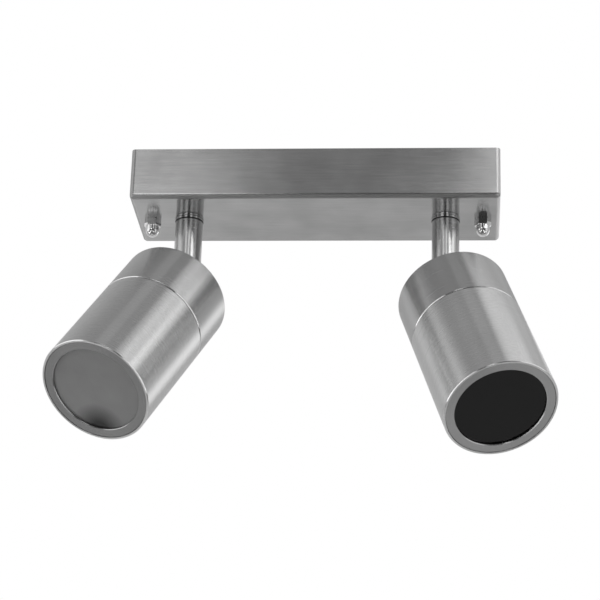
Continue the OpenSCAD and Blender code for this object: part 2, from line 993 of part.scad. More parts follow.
module pivot_screw() {
    color("gray")
        up(pivot_h)
            rotate([90, 0, 0])
                difference() {
                    union() {
                        up(-knuckle_half)
                            cylinder(h = pivot_head_h, r = pivot_head_d / 2);
                        up(-knuckle_half)
                            cylinder(h = 2 * knuckle_half, r = pivot_r);
                    }
                    up(-knuckle_half - over)
                        cylinder(h = socket_h + over, r = corner_r(socket_flats), $fn = 6);
                }
}

// Heads, the knuckle about the tilt pivot and the rest from the rear face forwards

module knuckle() {
    color(steel)
        difference() {
            union() {
                rotate([180, 0, 0])
                    knuckle_lap();
                up(lap_shoulder)
                    cylinder(h = rear_gap - lap_shoulder, r = arm_r);
                up(lap_shoulder)
                    cylinder(h = rear_gap - lap_shoulder + spigot_end, r = spigot_r);
            }
            rotate([180, 0, 0])
                knuckle_cuts();
            up(lap_shoulder)
                cylinder(h = rear_gap + spigot_end, r = bore_r);
            translate([0, -nut_seat, 0])
                rotate([90, 0, 0])
                    cylinder(h = arm_d, r = corner_r(pivot_nut_flats + 2 * fit_gap), $fn = 6);
        }
}

module pivot_nut() {
    color("lightgray")
        translate([0, -nut_seat, 0])
            rotate([90, 0, 0])
                hexagon_nut(pivot_nut_flats, pivot_nut_t, pivot_r);
}

module knuckle_nut() {
    color("lightgray")
        up(rear_wall + holder_strap_t)
            hexagon_nut(stem_nut_flats, knuckle_nut_t, spigot_r);
}

module rear_housing() {
    shell_end = rear_l - joint_w / 2;
    color(steel)
        rotate_extrude()
            difference() {
                union() {
                    polygon([
                        [0, rear_edge_r],
                        [head_r, rear_edge_r],
                        [head_r, shell_end - joint_bevel],
                        [head_r - joint_bevel, shell_end],
                        [0, shell_end]
                    ]);
                    square([head_r - rear_edge_r, rear_wall]);
                    translate([head_r - rear_edge_r, rear_edge_r])
                        circle(rear_edge_r);
                    square([spigot_outer_r, shell_end + spigot_l]);
                }
                square([spigot_r + fit_gap, rear_wall + over]);
                translate([0, rear_wall])
                    square([spigot_inner_r, shell_end + spigot_l]);
            }
}

module joint_seal() {
    color(dark_rubber)
        up(rear_l - joint_w / 2)
            ring(head_r - joint_depth, spigot_outer_r, joint_w);
}

module front_housing() {
    shell_start = rear_l + joint_w / 2;
    color(steel)
        rotate_extrude()
            difference() {
                polygon([
                    [0, shell_start],
                    [head_r - joint_bevel, shell_start],
                    [head_r, shell_start + joint_bevel],
                    [head_r, head_l - joint_bevel],
                    [head_r - joint_bevel, head_l],
                    [0, head_l]
                ]);
                translate([0, shell_start - over])
                    square([tube_inner_r, seat_z - shell_start + over]);
                translate([0, seat_z - over])
                    square([seat_open_d / 2, seat_t + 2 * over]);
                translate([0, glass_z])
                    square([tube_inner_r, head_l]);
            }
}

module bezel() {
    outer_r = tube_inner_r - fit_gap;
    inner_r = bezel_open_d / 2;
    color(steel)
        up(bezel_z)
            rotate_extrude()
                polygon([
                    [inner_r, 0],
                    [outer_r, 0],
                    [outer_r, bezel_t - bezel_chamfer],
                    [outer_r - bezel_chamfer, bezel_t],
                    [inner_r + bezel_chamfer, bezel_t],
                    [inner_r, bezel_t - bezel_chamfer]
                ]);
}

module glass() {
    color([0.1, 0.1, 0.11])
        up(glass_z)
            cylinder(h = glass_t, r = glass_d / 2);
}

module glass_seal() {
    color(dark_rubber)
        up(glass_seal_z)
            ring(glass_d / 2, seat_open_d / 2, glass_seal_t);
}

// Lampholder

module holder_bracket() {
    inner_r = holder_bend_r - holder_strap_t;
    color("lightgray")
        difference() {
            translate([0, holder_strap_w / 2, bracket_z + holder_strap_h / 2])
                rotate([90, 0, 0])
                    linear_extrude(holder_strap_w)
                        difference() {
                            rounded_rectangle(holder_l, holder_strap_h, holder_bend_r);
                            rounded_rectangle(
                                holder_l - 2 * holder_strap_t,
                                holder_strap_h - 2 * holder_strap_t,
                                inner_r);
                            translate([-bracket_gap_w / 2, 0])
                                square([bracket_gap_w, holder_strap_h]);
                        }
            cylinder(h = holder_z / 2, r = spigot_r + fit_gap);
            for (side = [-1, 1])
                translate([side * holder_screw_pitch / 2, 0, holder_z / 2])
                    cylinder(h = holder_z, r = m3_d / 2 + fit_gap);
        }
}

module lampholder() {
    pin_r = lamp_pin_pitch / 2;
    top = holder_flange_h + holder_body_h;
    color("ivory")
        up(holder_z)
            difference() {
                union() {
                    linear_extrude(holder_flange_h)
                        rounded_rectangle(holder_l, holder_w, holder_r);
                    linear_extrude(top)
                        rounded_rectangle(holder_body_l, holder_w, holder_r);
                }
                for (side = [-1, 1]) {
                    translate([side * pin_r, 0, top - lamp_pin_depth])
                        cylinder(h = lamp_pin_depth + over, r = lamp_pin_d / 2);
                    translate([side * holder_screw_pitch / 2, 0, -over])
                        cylinder(h = holder_flange_h + 2 * over, r = m3_d / 2 + fit_gap);
                    translate([side * holder_screw_pitch / 2, 0, holder_flange_h - screw_sink])
                        cylinder(h = m3_head_h + screw_sink, r = m3_head_d / 2 + fit_gap);
                }
                up(top - lamp_pin_depth)
                    for (turn = [0, 180])
                        rotate([0, 0, turn])
                            rotate_extrude(angle = lamp_turn)
                                translate([pin_r - lamp_slot_w / 2, 0])
                                    square([lamp_slot_w, lamp_pin_depth + over]);
            }
}

module holder_screws() {
    color("lightgray")
        for (side = [-1, 1])
            translate([side * holder_screw_pitch / 2, 0, holder_z + holder_flange_h - screw_sink])
                slotted_screw(
                    m3_d,
                    holder_flange_h - screw_sink + holder_strap_t + screw_end,
                    m3_head_d,
                    m3_head_h);
}

module head_leads() {
    sleeve_z = lap_shoulder + part_gap - rear_gap;
    fork_z = spigot_end + sleeve_end;
    rise = holder_z - face_gap - fork_z;
    reach = lamp_pin_pitch / 2 - lead_off;
    color("white") {
        up(sleeve_z)
            cylinder(h = fork_z - sleeve_z, r = sleeve_r);
        for (side = [-1, 1])
            translate([side * lead_off, 0, fork_z - lead_r])
                rotate([0, side * atan(reach / rise), 0])
                    cylinder(h = rise, r = lead_r);
    }
}

back_box();
wall_gasket();
wall_bracket();
bracket_studs();
dome_nuts();
terminal_block();
terminal_inserts();
terminal_screws();
block_screw();
earth_screw();
earth_tag();
cable_grommet();
live_leads();
neutral_leads();
earth_leads();
slide_washers();
stop_pins();
stem_seals();
at_arm(-1) arm();  // left_arm
at_arm(-1) base_ring();  // left_base_ring
at_arm(-1) stop_plate();  // left_stop_plate
at_arm(-1) disc_spring();  // left_disc_spring
at_arm(-1) stem_nuts();  // left_stem_nuts
at_arm(-1) arm_leads();  // left_arm_leads
at_arm(-1) pivot_screw();  // left_pivot_screw
at_arm(1) arm();  // right_arm
at_arm(1) base_ring();  // right_base_ring
at_arm(1) stop_plate();  // right_stop_plate
at_arm(1) disc_spring();  // right_disc_spring
at_arm(1) stem_nuts();  // right_stem_nuts
at_arm(1) arm_leads();  // right_arm_leads
at_arm(1) pivot_screw();  // right_pivot_screw
at_pivot(-1) knuckle();  // left_knuckle
at_head(-1) knuckle_nut();  // left_knuckle_nut
at_pivot(-1) pivot_nut();  // left_pivot_nut
at_head(-1) rear_housing();  // left_rear_housing
at_head(-1) front_housing();  // left_front_housing
at_head(-1) joint_seal();  // left_joint_seal
at_head(-1) bezel();  // left_bezel
at_head(-1) glass();  // left_glass
at_head(-1) glass_seal();  // left_glass_seal
at_head(-1) lampholder();  // left_lampholder
at_head(-1) holder_bracket();  // left_holder_bracket
at_head(-1) holder_screws();  // left_holder_screws
at_head(-1) head_leads();  // left_head_leads
at_pivot(1) knuckle();  // right_knuckle
at_head(1) knuckle_nut();  // right_knuckle_nut
at_pivot(1) pivot_nut();  // right_pivot_nut
at_head(1) rear_housing();  // right_rear_housing
at_head(1) front_housing();  // right_front_housing
at_head(1) joint_seal();  // right_joint_seal
at_head(1) bezel();  // right_bezel
at_head(1) glass();  // right_glass
at_head(1) glass_seal();  // right_glass_seal
at_head(1) lampholder();  // right_lampholder
at_head(1) holder_bracket();  // right_holder_bracket
at_head(1) holder_screws();  // right_holder_screws
at_head(1) head_leads();  // right_head_leads
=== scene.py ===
# %% [markdown]
# # A twin spotlight wall light in brushed stainless steel
# The fitting is a flat oblong box that hangs on a wall, with two short round arms and
# a plain cylindrical head on each. Its solids, joints and places come from the packed
# CAD model, which is loaded first and never moved. This lesson gives those solids
# their finishes, adds the small forms that repeat, and lights them as in a studio.
#
# All lengths are in metres. +X runs along the wall, +Z up and +Y into the wall, and
# the origin lies on the wall at the middle of the box.

# %% Load the model
import json
import math

import bpy
from mathutils import Matrix, Vector


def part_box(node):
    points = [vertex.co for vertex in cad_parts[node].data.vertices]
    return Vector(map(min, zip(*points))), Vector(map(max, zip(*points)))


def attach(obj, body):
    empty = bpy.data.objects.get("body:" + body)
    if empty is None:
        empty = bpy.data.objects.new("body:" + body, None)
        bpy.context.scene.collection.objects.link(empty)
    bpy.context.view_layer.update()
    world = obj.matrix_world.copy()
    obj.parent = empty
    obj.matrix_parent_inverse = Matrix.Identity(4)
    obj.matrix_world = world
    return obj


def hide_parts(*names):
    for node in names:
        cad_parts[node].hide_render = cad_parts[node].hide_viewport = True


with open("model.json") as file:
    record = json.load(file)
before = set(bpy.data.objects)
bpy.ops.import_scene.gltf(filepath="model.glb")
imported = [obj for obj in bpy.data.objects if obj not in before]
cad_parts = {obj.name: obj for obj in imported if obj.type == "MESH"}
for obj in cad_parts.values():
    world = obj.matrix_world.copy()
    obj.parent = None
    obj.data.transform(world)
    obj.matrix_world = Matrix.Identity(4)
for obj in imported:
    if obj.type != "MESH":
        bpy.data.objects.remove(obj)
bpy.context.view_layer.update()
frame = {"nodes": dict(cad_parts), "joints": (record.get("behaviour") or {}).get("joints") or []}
nodes = frame["nodes"]
joints = {joint["name"]: joint for joint in frame["joints"]}
MM = 0.001
MICRON = 0.000001
ALONG_WALL = Vector((1, 0, 0))

# %% [markdown]
# ## Where things are
# A round piece needs the line that it was turned about, because its grain runs round
# that line. The middle of a symmetrical piece's own box lies on that line, so two
# such pieces of a head give its axis, and a joint of the model gives an arm's.

# %% Axes of the arms and heads
def middle(node):
    low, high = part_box(node)
    return (low + high) / 2


SIDES = ("left", "right")
arm_axis = {side: Vector(joints[f"{side}_swivel"]["axis"]).normalized() for side in SIDES}
arm_foot = {side: Vector(joints[f"{side}_swivel"]["pos_m"]) for side in SIDES}
pivot = {side: Vector(joints[f"{side}_tilt"]["pos_m"]) for side in SIDES}
head_axis = {}
for side in SIDES:
    to_glass = middle(f"{side}_glass") - middle(f"{side}_joint_seal")
    head_axis[side] = to_glass.normalized()
    print(side, "head points along", [round(c, 3) for c in head_axis[side]])

# %% [markdown]
# ## Camera
# The picture was taken from far above the fitting, looking steeply down, so the long
# upper face is the top of the box and the lower one is its front. A long lens keeps
# the two heads nearly the same size. The camera's three directions are written down
# as unit vectors: to its right, up in the picture, and back towards the lens.

# %% Camera
FOCAL_LENGTH_PX = 2171.6
PICTURE_PX = 600
SENSOR_MM = 36
CLIP_END = 20

camera_data = bpy.data.cameras.new("studio_camera")
camera_data.sensor_fit = "HORIZONTAL"
camera_data.sensor_width = SENSOR_MM
camera_data.lens = FOCAL_LENGTH_PX * SENSOR_MM / PICTURE_PX
camera_data.clip_end = CLIP_END
camera = bpy.data.objects.new("studio_camera", camera_data)
bpy.context.scene.collection.objects.link(camera)

camera_place = Vector((0.07919, -0.52018, 1.08490))
looking = Vector((-0.07419, 0.37756, -0.92301)).normalized()
rightwards = Vector((0.99724, 0.02833, -0.06856))
rightwards = (rightwards - looking * rightwards.dot(looking)).normalized()
upwards = rightwards.cross(looking)
turn = Matrix((rightwards, upwards, -looking)).transposed().to_4x4()
camera.matrix_world = Matrix.Translation(camera_place) @ turn
bpy.context.scene.camera = camera
print("lens", round(camera_data.lens, 1), "mm")

# %% [markdown]
# ## Floor and surroundings
# The fitting is shown on pure white with no shadow. The floor is a plain pale sheet
# well below it. To the camera, and through glass, floor and world are white at a
# strength of 1. Metal sees the floor at a lower level, as a pale floor in a softly
# lit room, so it keeps its grey tone and no lamp has to be turned up for the white.
# The room itself is dim. In front of the fitting and above it, on the camera's side,
# hangs a dark card. Steel that faces it turns dark, such as the flats of the nuts.

# %% Floor
FLOOR_DROP = 1.1
FLOOR_HALF = 6.0
FLOOR_COLOUR = 0.78
FLOOR_IN_METAL = 0.26

floor_mesh = bpy.data.meshes.new("floor")
corners = [(x * FLOOR_HALF, y * FLOOR_HALF, -FLOOR_DROP)
           for x, y in ((-1, -1), (1, -1), (1, 1), (-1, 1))]
floor_mesh.from_pydata(corners, [], [(0, 1, 2, 3)])
floor = bpy.data.objects.new("floor", floor_mesh)
bpy.context.scene.collection.objects.link(floor)


def feed(tree, socket, value):
    """Puts a number, a colour or another node's output into a socket."""
    if isinstance(value, bpy.types.NodeSocket):
        tree.links.new(value, socket)
    else:
        socket.default_value = value


def sums(tree, operation, *values):
    """One Math node; its values are numbers or outputs."""
    made = tree.nodes.new("ShaderNodeMath")
    made.operation = operation
    for socket, value in zip(made.inputs, values):
        feed(tree, socket, value)
    return made.outputs[0]


def add_seen_white(tree, lit_shader, white_node):
    """White to the camera and through glass, and lit_shader to every other ray."""
    rays = tree.nodes.new("ShaderNodeLightPath").outputs
    white = tree.nodes.new(white_node)
    white.inputs["Color"].default_value = (1, 1, 1, 1)
    white.inputs["Strength"].default_value = 1
    seen = sums(tree, "MAXIMUM", rays["Is Camera Ray"], rays["Is Transmission Ray"])
    mix = tree.nodes.new("ShaderNodeMixShader")
    feed(tree, mix.inputs[0], seen)
    tree.links.new(lit_shader, mix.inputs[1])
    tree.links.new(white.outputs[0], mix.inputs[2])
    return mix.outputs[0]


def add_glow_in_metal(tree, lit_shader, level):
    """Adds a level that only reflections see."""
    rays = tree.nodes.new("ShaderNodeLightPath").outputs
    glow = tree.nodes.new("ShaderNodeEmission")
    feed(tree, glow.inputs["Strength"], sums(tree, "MULTIPLY", rays["Is Glossy Ray"], level))
    both = tree.nodes.new("ShaderNodeAddShader")
    tree.links.new(lit_shader, both.inputs[0])
    tree.links.new(glow.outputs[0], both.inputs[1])
    return both.outputs[0]


floor_finish = bpy.data.materials.new("pale_floor")
floor_finish.use_nodes = True
tree = floor_finish.node_tree
tree.nodes.remove(tree.nodes["Principled BSDF"])
matt = tree.nodes.new("ShaderNodeBsdfDiffuse")
matt.inputs["Color"].default_value = (FLOOR_COLOUR, FLOOR_COLOUR, FLOOR_COLOUR, 1)
lit_floor = add_glow_in_metal(tree, matt.outputs[0], FLOOR_IN_METAL)
feed(tree, tree.nodes["Material Output"].inputs["Surface"],
     add_seen_white(tree, lit_floor, "ShaderNodeEmission"))
floor_mesh.materials.append(floor_finish)
print("floor", FLOOR_DROP, "m below the middle of the box")

# %% World
WORLD_LEVEL = 0.32
CARD_LEVEL = 0.07
CARD_WAY = Vector((0, -1, 1)).normalized()
# Cosines of the angles off CARD_WAY at which the card begins and is at its full level
CARD_EDGE_OUTER, CARD_EDGE_INNER = 0.45, 0.60

world = bpy.data.worlds.new("studio_room")
bpy.context.scene.world = world
world.use_nodes = True
tree = world.node_tree
room = tree.nodes["Background"]
room.inputs["Color"].default_value = (1, 1, 1, 1)
toward = tree.nodes.new("ShaderNodeVectorMath")
toward.operation = "DOT_PRODUCT"
tree.links.new(tree.nodes.new("ShaderNodeTexCoord").outputs["Generated"], toward.inputs[0])
toward.inputs[1].default_value = CARD_WAY
card = tree.nodes.new("ShaderNodeMapRange")
card.interpolation_type = "SMOOTHSTEP"
for name, number in (("From Min", CARD_EDGE_OUTER), ("From Max", CARD_EDGE_INNER),
                     ("To Min", WORLD_LEVEL), ("To Max", CARD_LEVEL)):
    card.inputs[name].default_value = number
tree.links.new(toward.outputs["Value"], card.inputs["Value"])
tree.links.new(card.outputs[0], room.inputs["Strength"])
feed(tree, tree.nodes["World Output"].inputs["Surface"],
     add_seen_white(tree, room.outputs[0], "ShaderNodeBackground"))
bpy.context.scene.view_settings.view_transform = "Standard"

# %% [markdown]
# ## Light
# Steel shows what stands around it, so a steel fitting is lit with large soft boxes
# and the gaps between them make its dark bands. Each box here is an area lamp given
# by the direction in which it stands, how far off it is, its width and height, and
# its level. A level of 1 looks white, whatever the size of the box. The near boxes
# stand so close that each head sees them in another direction. The tall strips at the
# front light the thin bevels. The camera sees none of the boxes.

# %% Soft boxes
# The point between the heads that every soft box faces
LIGHT_TARGET = Vector((0, -0.09, 0.02))


def soft_box(name, azimuth, elevation, distance, width, height, level):
    """An area lamp that faces the fitting; azimuth runs from +X towards the wall."""
    data = bpy.data.lights.new(name, "AREA")
    data.shape = "RECTANGLE"
    data.size, data.size_y = width, height
    data.energy = level * math.pi * width * height
    lamp = bpy.data.objects.new(name, data)
    lamp.visible_camera = False
    bpy.context.scene.collection.objects.link(lamp)
    flat = math.cos(math.radians(elevation))
    way = Vector((flat * math.cos(math.radians(azimuth)),
                  flat * math.sin(math.radians(azimuth)),
                  math.sin(math.radians(elevation))))
    lamp.location = LIGHT_TARGET + way * distance
    lamp.rotation_euler = way.to_track_quat("Z", "Y").to_euler()


# Each row: name, azimuth and elevation in degrees, distance, width, height, level
for box in (
    ("near_right_box", 30, 15, 0.5, 0.15, 0.15, 1.25),
    ("near_back_right_box", 55, 5, 0.5, 0.3, 0.3, 0.45),
    ("near_low_right_box", 15, -55, 0.5, 0.3, 0.15, 0.6),
    ("near_low_left_box", 160, -35, 0.55, 0.25, 0.15, 0.3),
    ("right_box", 35, 0, 1.6, 0.8, 0.4, 0.4),
    ("high_right_box", 40, 40, 1.6, 0.4, 0.7, 2.2),
    ("right_side_box", 0, 20, 1.4, 0.7, 1.0, 0.4),
    ("low_right_box", 0, -45, 1.3, 0.5, 0.35, 0.45),
    ("low_back_box", 55, -35, 1.4, 0.3, 0.35, 0.2),
    ("top_right_box", 70, 65, 1.6, 0.3, 0.45, 1.15),
    ("top_left_box", 135, 70, 1.6, 0.35, 0.4, 1.85),
    ("high_back_left_box", 115, 60, 1.6, 0.25, 0.45, 0.4),
    ("high_left_box", 155, 40, 1.6, 0.4, 0.45, 0.35),
    ("left_box", 150, 15, 1.6, 0.4, 0.95, 0.6),
    ("left_side_box", 175, 20, 1.4, 0.6, 1.2, 0.75),
    ("far_back_box", 90, 10, 1.6, 0.4, 0.4, 0.15),
    ("front_left_box", -150, 15, 1.4, 0.5, 0.55, 0.95),
    ("front_left_fill", -110, 10, 1.4, 0.4, 1.3, 0.75),
    ("front_left_strip", -135, 40, 1.4, 0.3, 1.75, 1.4),
    ("front_right_strip", -55, 40, 1.4, 0.3, 1.75, 1.3),
    ("front_right_box", -30, 15, 1.4, 0.4, 0.55, 1.05),
    ("front_right_high_box", -30, 35, 1.4, 0.35, 0.55, 0.4),
    ("front_low_box", -135, -60, 1.2, 0.6, 0.35, 0.15),
):
    soft_box(*box)

# %% [markdown]
# ## Building a finish
# Every finish is one Principled shader with patterns on the object's own
# coordinates, so the pattern stays on the piece when it turns with its joint. The
# short helpers below mostly stand for one node each. Numbers that are the same all
# over a surface go straight on the shader.

# %% Helpers for patterns
def vectors(tree, operation, *values, factor=None, output=0):
    """One Vector Math node; its values are vectors or outputs."""
    made = tree.nodes.new("ShaderNodeVectorMath")
    made.operation = operation
    for socket, value in zip(made.inputs, values):
        feed(tree, socket, value)
    if factor is not None:
        feed(tree, made.inputs["Scale"], factor)
    return made.outputs[output]


def joined(tree, x, y, z):
    """A vector from three numbers or outputs."""
    made = tree.nodes.new("ShaderNodeCombineXYZ")
    for socket, value in zip(made.inputs, (x, y, z)):
        feed(tree, socket, value)
    return made.outputs[0]


def parts_of(tree, vector):
    made = tree.nodes.new("ShaderNodeSeparateXYZ")
    feed(tree, made.inputs[0], vector)
    return made.outputs


def noise(tree, place, scale=1.0, detail=2.0, roughness=0.5):
    """Smooth noise, about 0.5 on average."""
    made = tree.nodes.new("ShaderNodeTexNoise")
    feed(tree, made.inputs["Vector"], place)
    made.inputs["Scale"].default_value = scale
    made.inputs["Detail"].default_value = detail
    made.inputs["Roughness"].default_value = roughness
    return made.outputs["Fac"]


def spread(tree, value, low, high, to_low=0.0, to_high=1.0):
    """Stretches low..high onto to_low..to_high, without going past them."""
    made = tree.nodes.new("ShaderNodeMapRange")
    for name, number in (("Value", value), ("From Min", low), ("From Max", high),
                         ("To Min", to_low), ("To Max", to_high)):
        feed(tree, made.inputs[name], number)
    return made.outputs[0]


def shade(tree, factor, dark, light):
    """A colour between two, by factor; each is a colour or an output."""
    made = tree.nodes.new("ShaderNodeMix")
    made.data_type = "RGBA"
    feed(tree, made.inputs["Factor"], factor)
    for name, colour in (("A", dark), ("B", light)):
        is_output = isinstance(colour, bpy.types.NodeSocket)
        feed(tree, made.inputs[name], colour if is_output else (*colour, 1))
    return made.outputs["Result"]


def blend(tree, share, one, other):
    """A share of one number and the rest of the other."""
    return sums(tree, "ADD", sums(tree, "MULTIPLY", one, share),
                sums(tree, "MULTIPLY", other, 1 - share))


def bump(tree, height, depth):
    """Raises the surface by up to depth where height is 1."""
    made = tree.nodes.new("ShaderNodeBump")
    made.inputs["Distance"].default_value = depth
    made.inputs["Strength"].default_value = 1
    feed(tree, made.inputs["Height"], height)
    return made.outputs[0]


def place_on(tree):
    return tree.nodes.new("ShaderNodeTexCoord").outputs["Object"]


def facing_on(tree):
    return tree.nodes.new("ShaderNodeTexCoord").outputs["Normal"]


def start_finish(name, metallic=0.0, ior=None, **numbers):
    """A new material; the numbers go on the sockets of its Principled shader."""
    finish = bpy.data.materials.new(name)
    finish.use_nodes = True
    tree = finish.node_tree
    shader = tree.nodes["Principled BSDF"].inputs
    shader["Metallic"].default_value = metallic
    if ior is not None:
        shader["IOR"].default_value = ior
    for socket, number in numbers.items():
        shader[socket.replace("_", " ").title()].default_value = number
    return finish, tree, shader


def grey(level):
    return (level, level, level)


# %% [markdown]
# ## Brushed steel
# Brushing leaves fine grooves, so steel scatters light mostly across them: a
# reflection stays sharp along the grooves and is smeared across them. The shader's
# anisotropy does that, with its tangent laid across the grooves. The tangent is the
# cross product of the surface's normal and the direction of the grooves, taken from
# the object to the world so that it follows a head when it tilts.

# %% Brushing
# Most of a noise lies between these two
NOISE_LOW, NOISE_HIGH = 0.3, 0.7
# The share of fine strokes in the grain, and of the grain in the tone
FINE_SHARE, GRAIN_SHARE = 0.75, 0.6
# Scale of the broad strokes beside the fine ones, and of the clouds on the object
BROAD_SCALE, CLOUD_SCALE = 0.3, 38.0
# The noise at which the steel is darkest, and lightest
TONE_LOW, TONE_HIGH = 0.34, 0.66
# How far roughness drifts each way with the grain
ROUGHNESS_DRIFT = 0.03


def tangent_across(tree, groove):
    across = vectors(tree, "CROSS_PRODUCT", facing_on(tree), groove)
    made = tree.nodes.new("ShaderNodeVectorTransform")
    made.vector_type = "VECTOR"
    made.convert_from, made.convert_to = "OBJECT", "WORLD"
    feed(tree, made.inputs[0], across)
    return made.outputs[0]


def brushed(tree, shader, strokes, groove, tone, contrast, roughness, depth, edge=None):
    """Joins grain, cloudy tone and groove direction to the shader.

    edge is where the piece has another roughness and a tone that paints light onto some edges and
    shade onto others, with those two numbers.
    """
    fine = noise(tree, strokes, detail=3.0, roughness=0.7)
    broad = noise(tree, strokes, BROAD_SCALE, detail=1.0)
    grain = blend(tree, FINE_SHARE, fine, broad)
    mottle = blend(tree, GRAIN_SHARE, grain, noise(tree, place_on(tree), CLOUD_SCALE))
    dark, light = tone * (1 - contrast), min(tone * (1 + contrast), 1)
    colour = shade(tree, spread(tree, mottle, TONE_LOW, TONE_HIGH), grey(dark), grey(light))
    rough = spread(tree, grain, NOISE_LOW, NOISE_HIGH,
                   roughness - ROUGHNESS_DRIFT, roughness + ROUGHNESS_DRIFT)
    if edge:
        place, painted_edge_tone, edge_roughness = edge
        colour = shade(tree, place, colour, grey(painted_edge_tone))
        change = sums(tree, "MULTIPLY", place, edge_roughness - roughness)
        rough = sums(tree, "ADD", rough, change)
    feed(tree, shader["Base Color"], colour)
    feed(tree, shader["Roughness"], rough)
    feed(tree, shader["Normal"], bump(tree, grain, depth))
    feed(tree, shader["Tangent"], tangent_across(tree, groove))


# %% [markdown]
# The box was brushed along its length before its corners were finished, so the
# grooves run along X on the front, top and bottom, and up and down on its ends. The
# strokes are noise that is stretched many times along the grooves. The bends, where
# the normal lies between two faces, are duller and were finished along their length.
# Their colour is also painted lighter than the faces, a painted sheen.

# %% Brushed box
# Scale of the noise along the grooves, and across them
BOX_STROKE = 70.0
BOX_GRAIN = 5200.0
# How far a normal must point along the wall to count as the box's end, and as its corner
END_FACING, CORNER_FACING = 0.99, 0.1
# The largest part of a normal where a bend looks its dullest, and where the bend begins
BEND_DULLEST, BEND_START = 0.90, 0.995
# The bends' tone, lighter than the faces as a painted sheen, and their roughness
BEND_SHEEN_TONE, BEND_ROUGHNESS = 0.56, 0.46


def brushed_box_finish():
    finish, tree, shader = start_finish("brushed_box_steel", metallic=1.0, anisotropic=0.85)
    x, y, z = parts_of(tree, place_on(tree))
    normal = facing_on(tree)
    flat = [sums(tree, "ABSOLUTE", part) for part in parts_of(tree, normal)]
    end = sums(tree, "GREATER_THAN", flat[0], END_FACING)
    corner = sums(tree, "SUBTRACT", sums(tree, "GREATER_THAN", flat[0], CORNER_FACING), end)
    along = sums(tree, "MULTIPLY", x, spread(tree, end, 0, 1, BOX_STROKE, BOX_GRAIN))
    upwards = sums(tree, "MULTIPLY", z, spread(tree, end, 0, 1, BOX_GRAIN, BOX_STROKE))
    strokes = joined(tree, along, sums(tree, "MULTIPLY", y, BOX_GRAIN), upwards)
    faces = joined(tree, sums(tree, "SUBTRACT", sums(tree, "SUBTRACT", 1.0, end), corner), 0.0, end)
    round_corner = vectors(tree, "CROSS_PRODUCT", normal, ALONG_WALL)
    along_corner = vectors(tree, "SCALE", round_corner, factor=corner)
    groove = vectors(tree, "ADD", faces, along_corner)
    flattest = sums(tree, "MAXIMUM", sums(tree, "MAXIMUM", flat[0], flat[1]), flat[2])
    bend = spread(tree, flattest, BEND_DULLEST, BEND_START, 1.0, 0.0)
    brushed(tree, shader, strokes, groove, tone=0.465, contrast=0.20, roughness=0.16,
            depth=3 * MICRON, edge=(bend, BEND_SHEEN_TONE, BEND_ROUGHNESS))
    return finish


box_steel = brushed_box_finish()

# %% [markdown]
# The heads, arms, rings and bezels were turned and brushed on a lathe, so their
# grooves run round the axis, on the flat faces too. The pattern needs three numbers:
# the cosine and sine of the angle round the axis, which change slowly along a
# groove, and the distance along the axis plus that from it, which changes fast. A
# head's rear tube is a shade darker than its front one. The two heads' tones also
# differ from each other as painted light and shade, by the light that each catches.

# %% Turned steel
# Scale of the noise round the axis, and along it or out from it
TURNED_STROKE = 1.4
TURNED_GRAIN = 5200.0


def round_place(tree, centre, axis):
    """Slow cosine and sine round an axis, distances along and from it, and the groove."""
    side_one = axis.orthogonal().normalized()
    side_two = axis.cross(side_one)
    from_centre = vectors(tree, "SUBTRACT", place_on(tree), centre)
    along = vectors(tree, "DOT_PRODUCT", from_centre, axis, output=1)
    sideways = vectors(tree, "SUBTRACT", from_centre,
                       vectors(tree, "SCALE", axis, factor=along))
    out = vectors(tree, "LENGTH", sideways, output=1)
    unit = vectors(tree, "NORMALIZE", sideways)
    cosine = vectors(tree, "DOT_PRODUCT", unit, side_one, output=1)
    sine = vectors(tree, "DOT_PRODUCT", unit, side_two, output=1)
    groove = vectors(tree, "CROSS_PRODUCT", axis, unit)
    return cosine, sine, along, out, groove


def turned_finish(name, centre, axis, tone, contrast, roughness, anisotropy, depth, edge=None):
    """A lathe-brushed finish.

    edge is a function that finds an edge, with the edge's tone and roughness; the tone paints light
    onto some edges and shade onto others.
    """
    finish, tree, shader = start_finish(name, metallic=1.0, anisotropic=anisotropy)
    cosine, sine, along, out, groove = round_place(tree, centre, axis)
    if edge:
        find, painted_edge_tone, edge_roughness = edge
        tilt = vectors(tree, "DOT_PRODUCT", facing_on(tree), axis, output=1)
        edge = (find(tree, tilt, along), painted_edge_tone, edge_roughness)
    fast = sums(tree, "MULTIPLY", sums(tree, "ADD", along, out), TURNED_GRAIN)
    strokes = joined(tree, sums(tree, "MULTIPLY", cosine, TURNED_STROKE),
                     sums(tree, "MULTIPLY", sine, TURNED_STROKE), fast)
    brushed(tree, shader, strokes, groove, tone, contrast, roughness, depth, edge)
    return finish


# %% [markdown]
# A few edges differ from the faces beside them in painted light and shade. The
# bevels along a head's joint line and its mouth were turned smoother, and are painted
# bright, a painted highlight. Where an arm meets its ring, a dark line of painted
# shade lies in the corner, and the ring's own corners are painted dark too. Each
# function below is given how far the surface faces along the axis and the distance
# along it, and finds its edge by one of the two.

# %% Edges
# How far in front of an arm's foot its ring ends
RING_FRONT = arm_foot["left"].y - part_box("left_base_ring")[0].y
# How far a normal must point along the axis to be a bevel's
BEVEL_FACING = 0.3
# In front of the ring, the line of painted shade is full up to the first and gone at the second
FOOT_SHADE_FULL, FOOT_SHADE_END = 0.3 * MM, 0.9 * MM
# Distance from the ring's mid-plane at which the painted shade of its corners begins
RING_CORNER_SHADE_START = 0.3 * MM
# The bevels' tone, a painted highlight, and their roughness
BEVEL_HIGHLIGHT_TONE, BEVEL_ROUGHNESS = 0.97, 0.20
# The tone of the painted shade at an arm's foot and at a ring's corners, and their roughness
FOOT_SHADE_TONE, RING_CORNER_SHADE_TONE, SHADED_EDGE_ROUGHNESS = 0.06, 0.10, 0.4


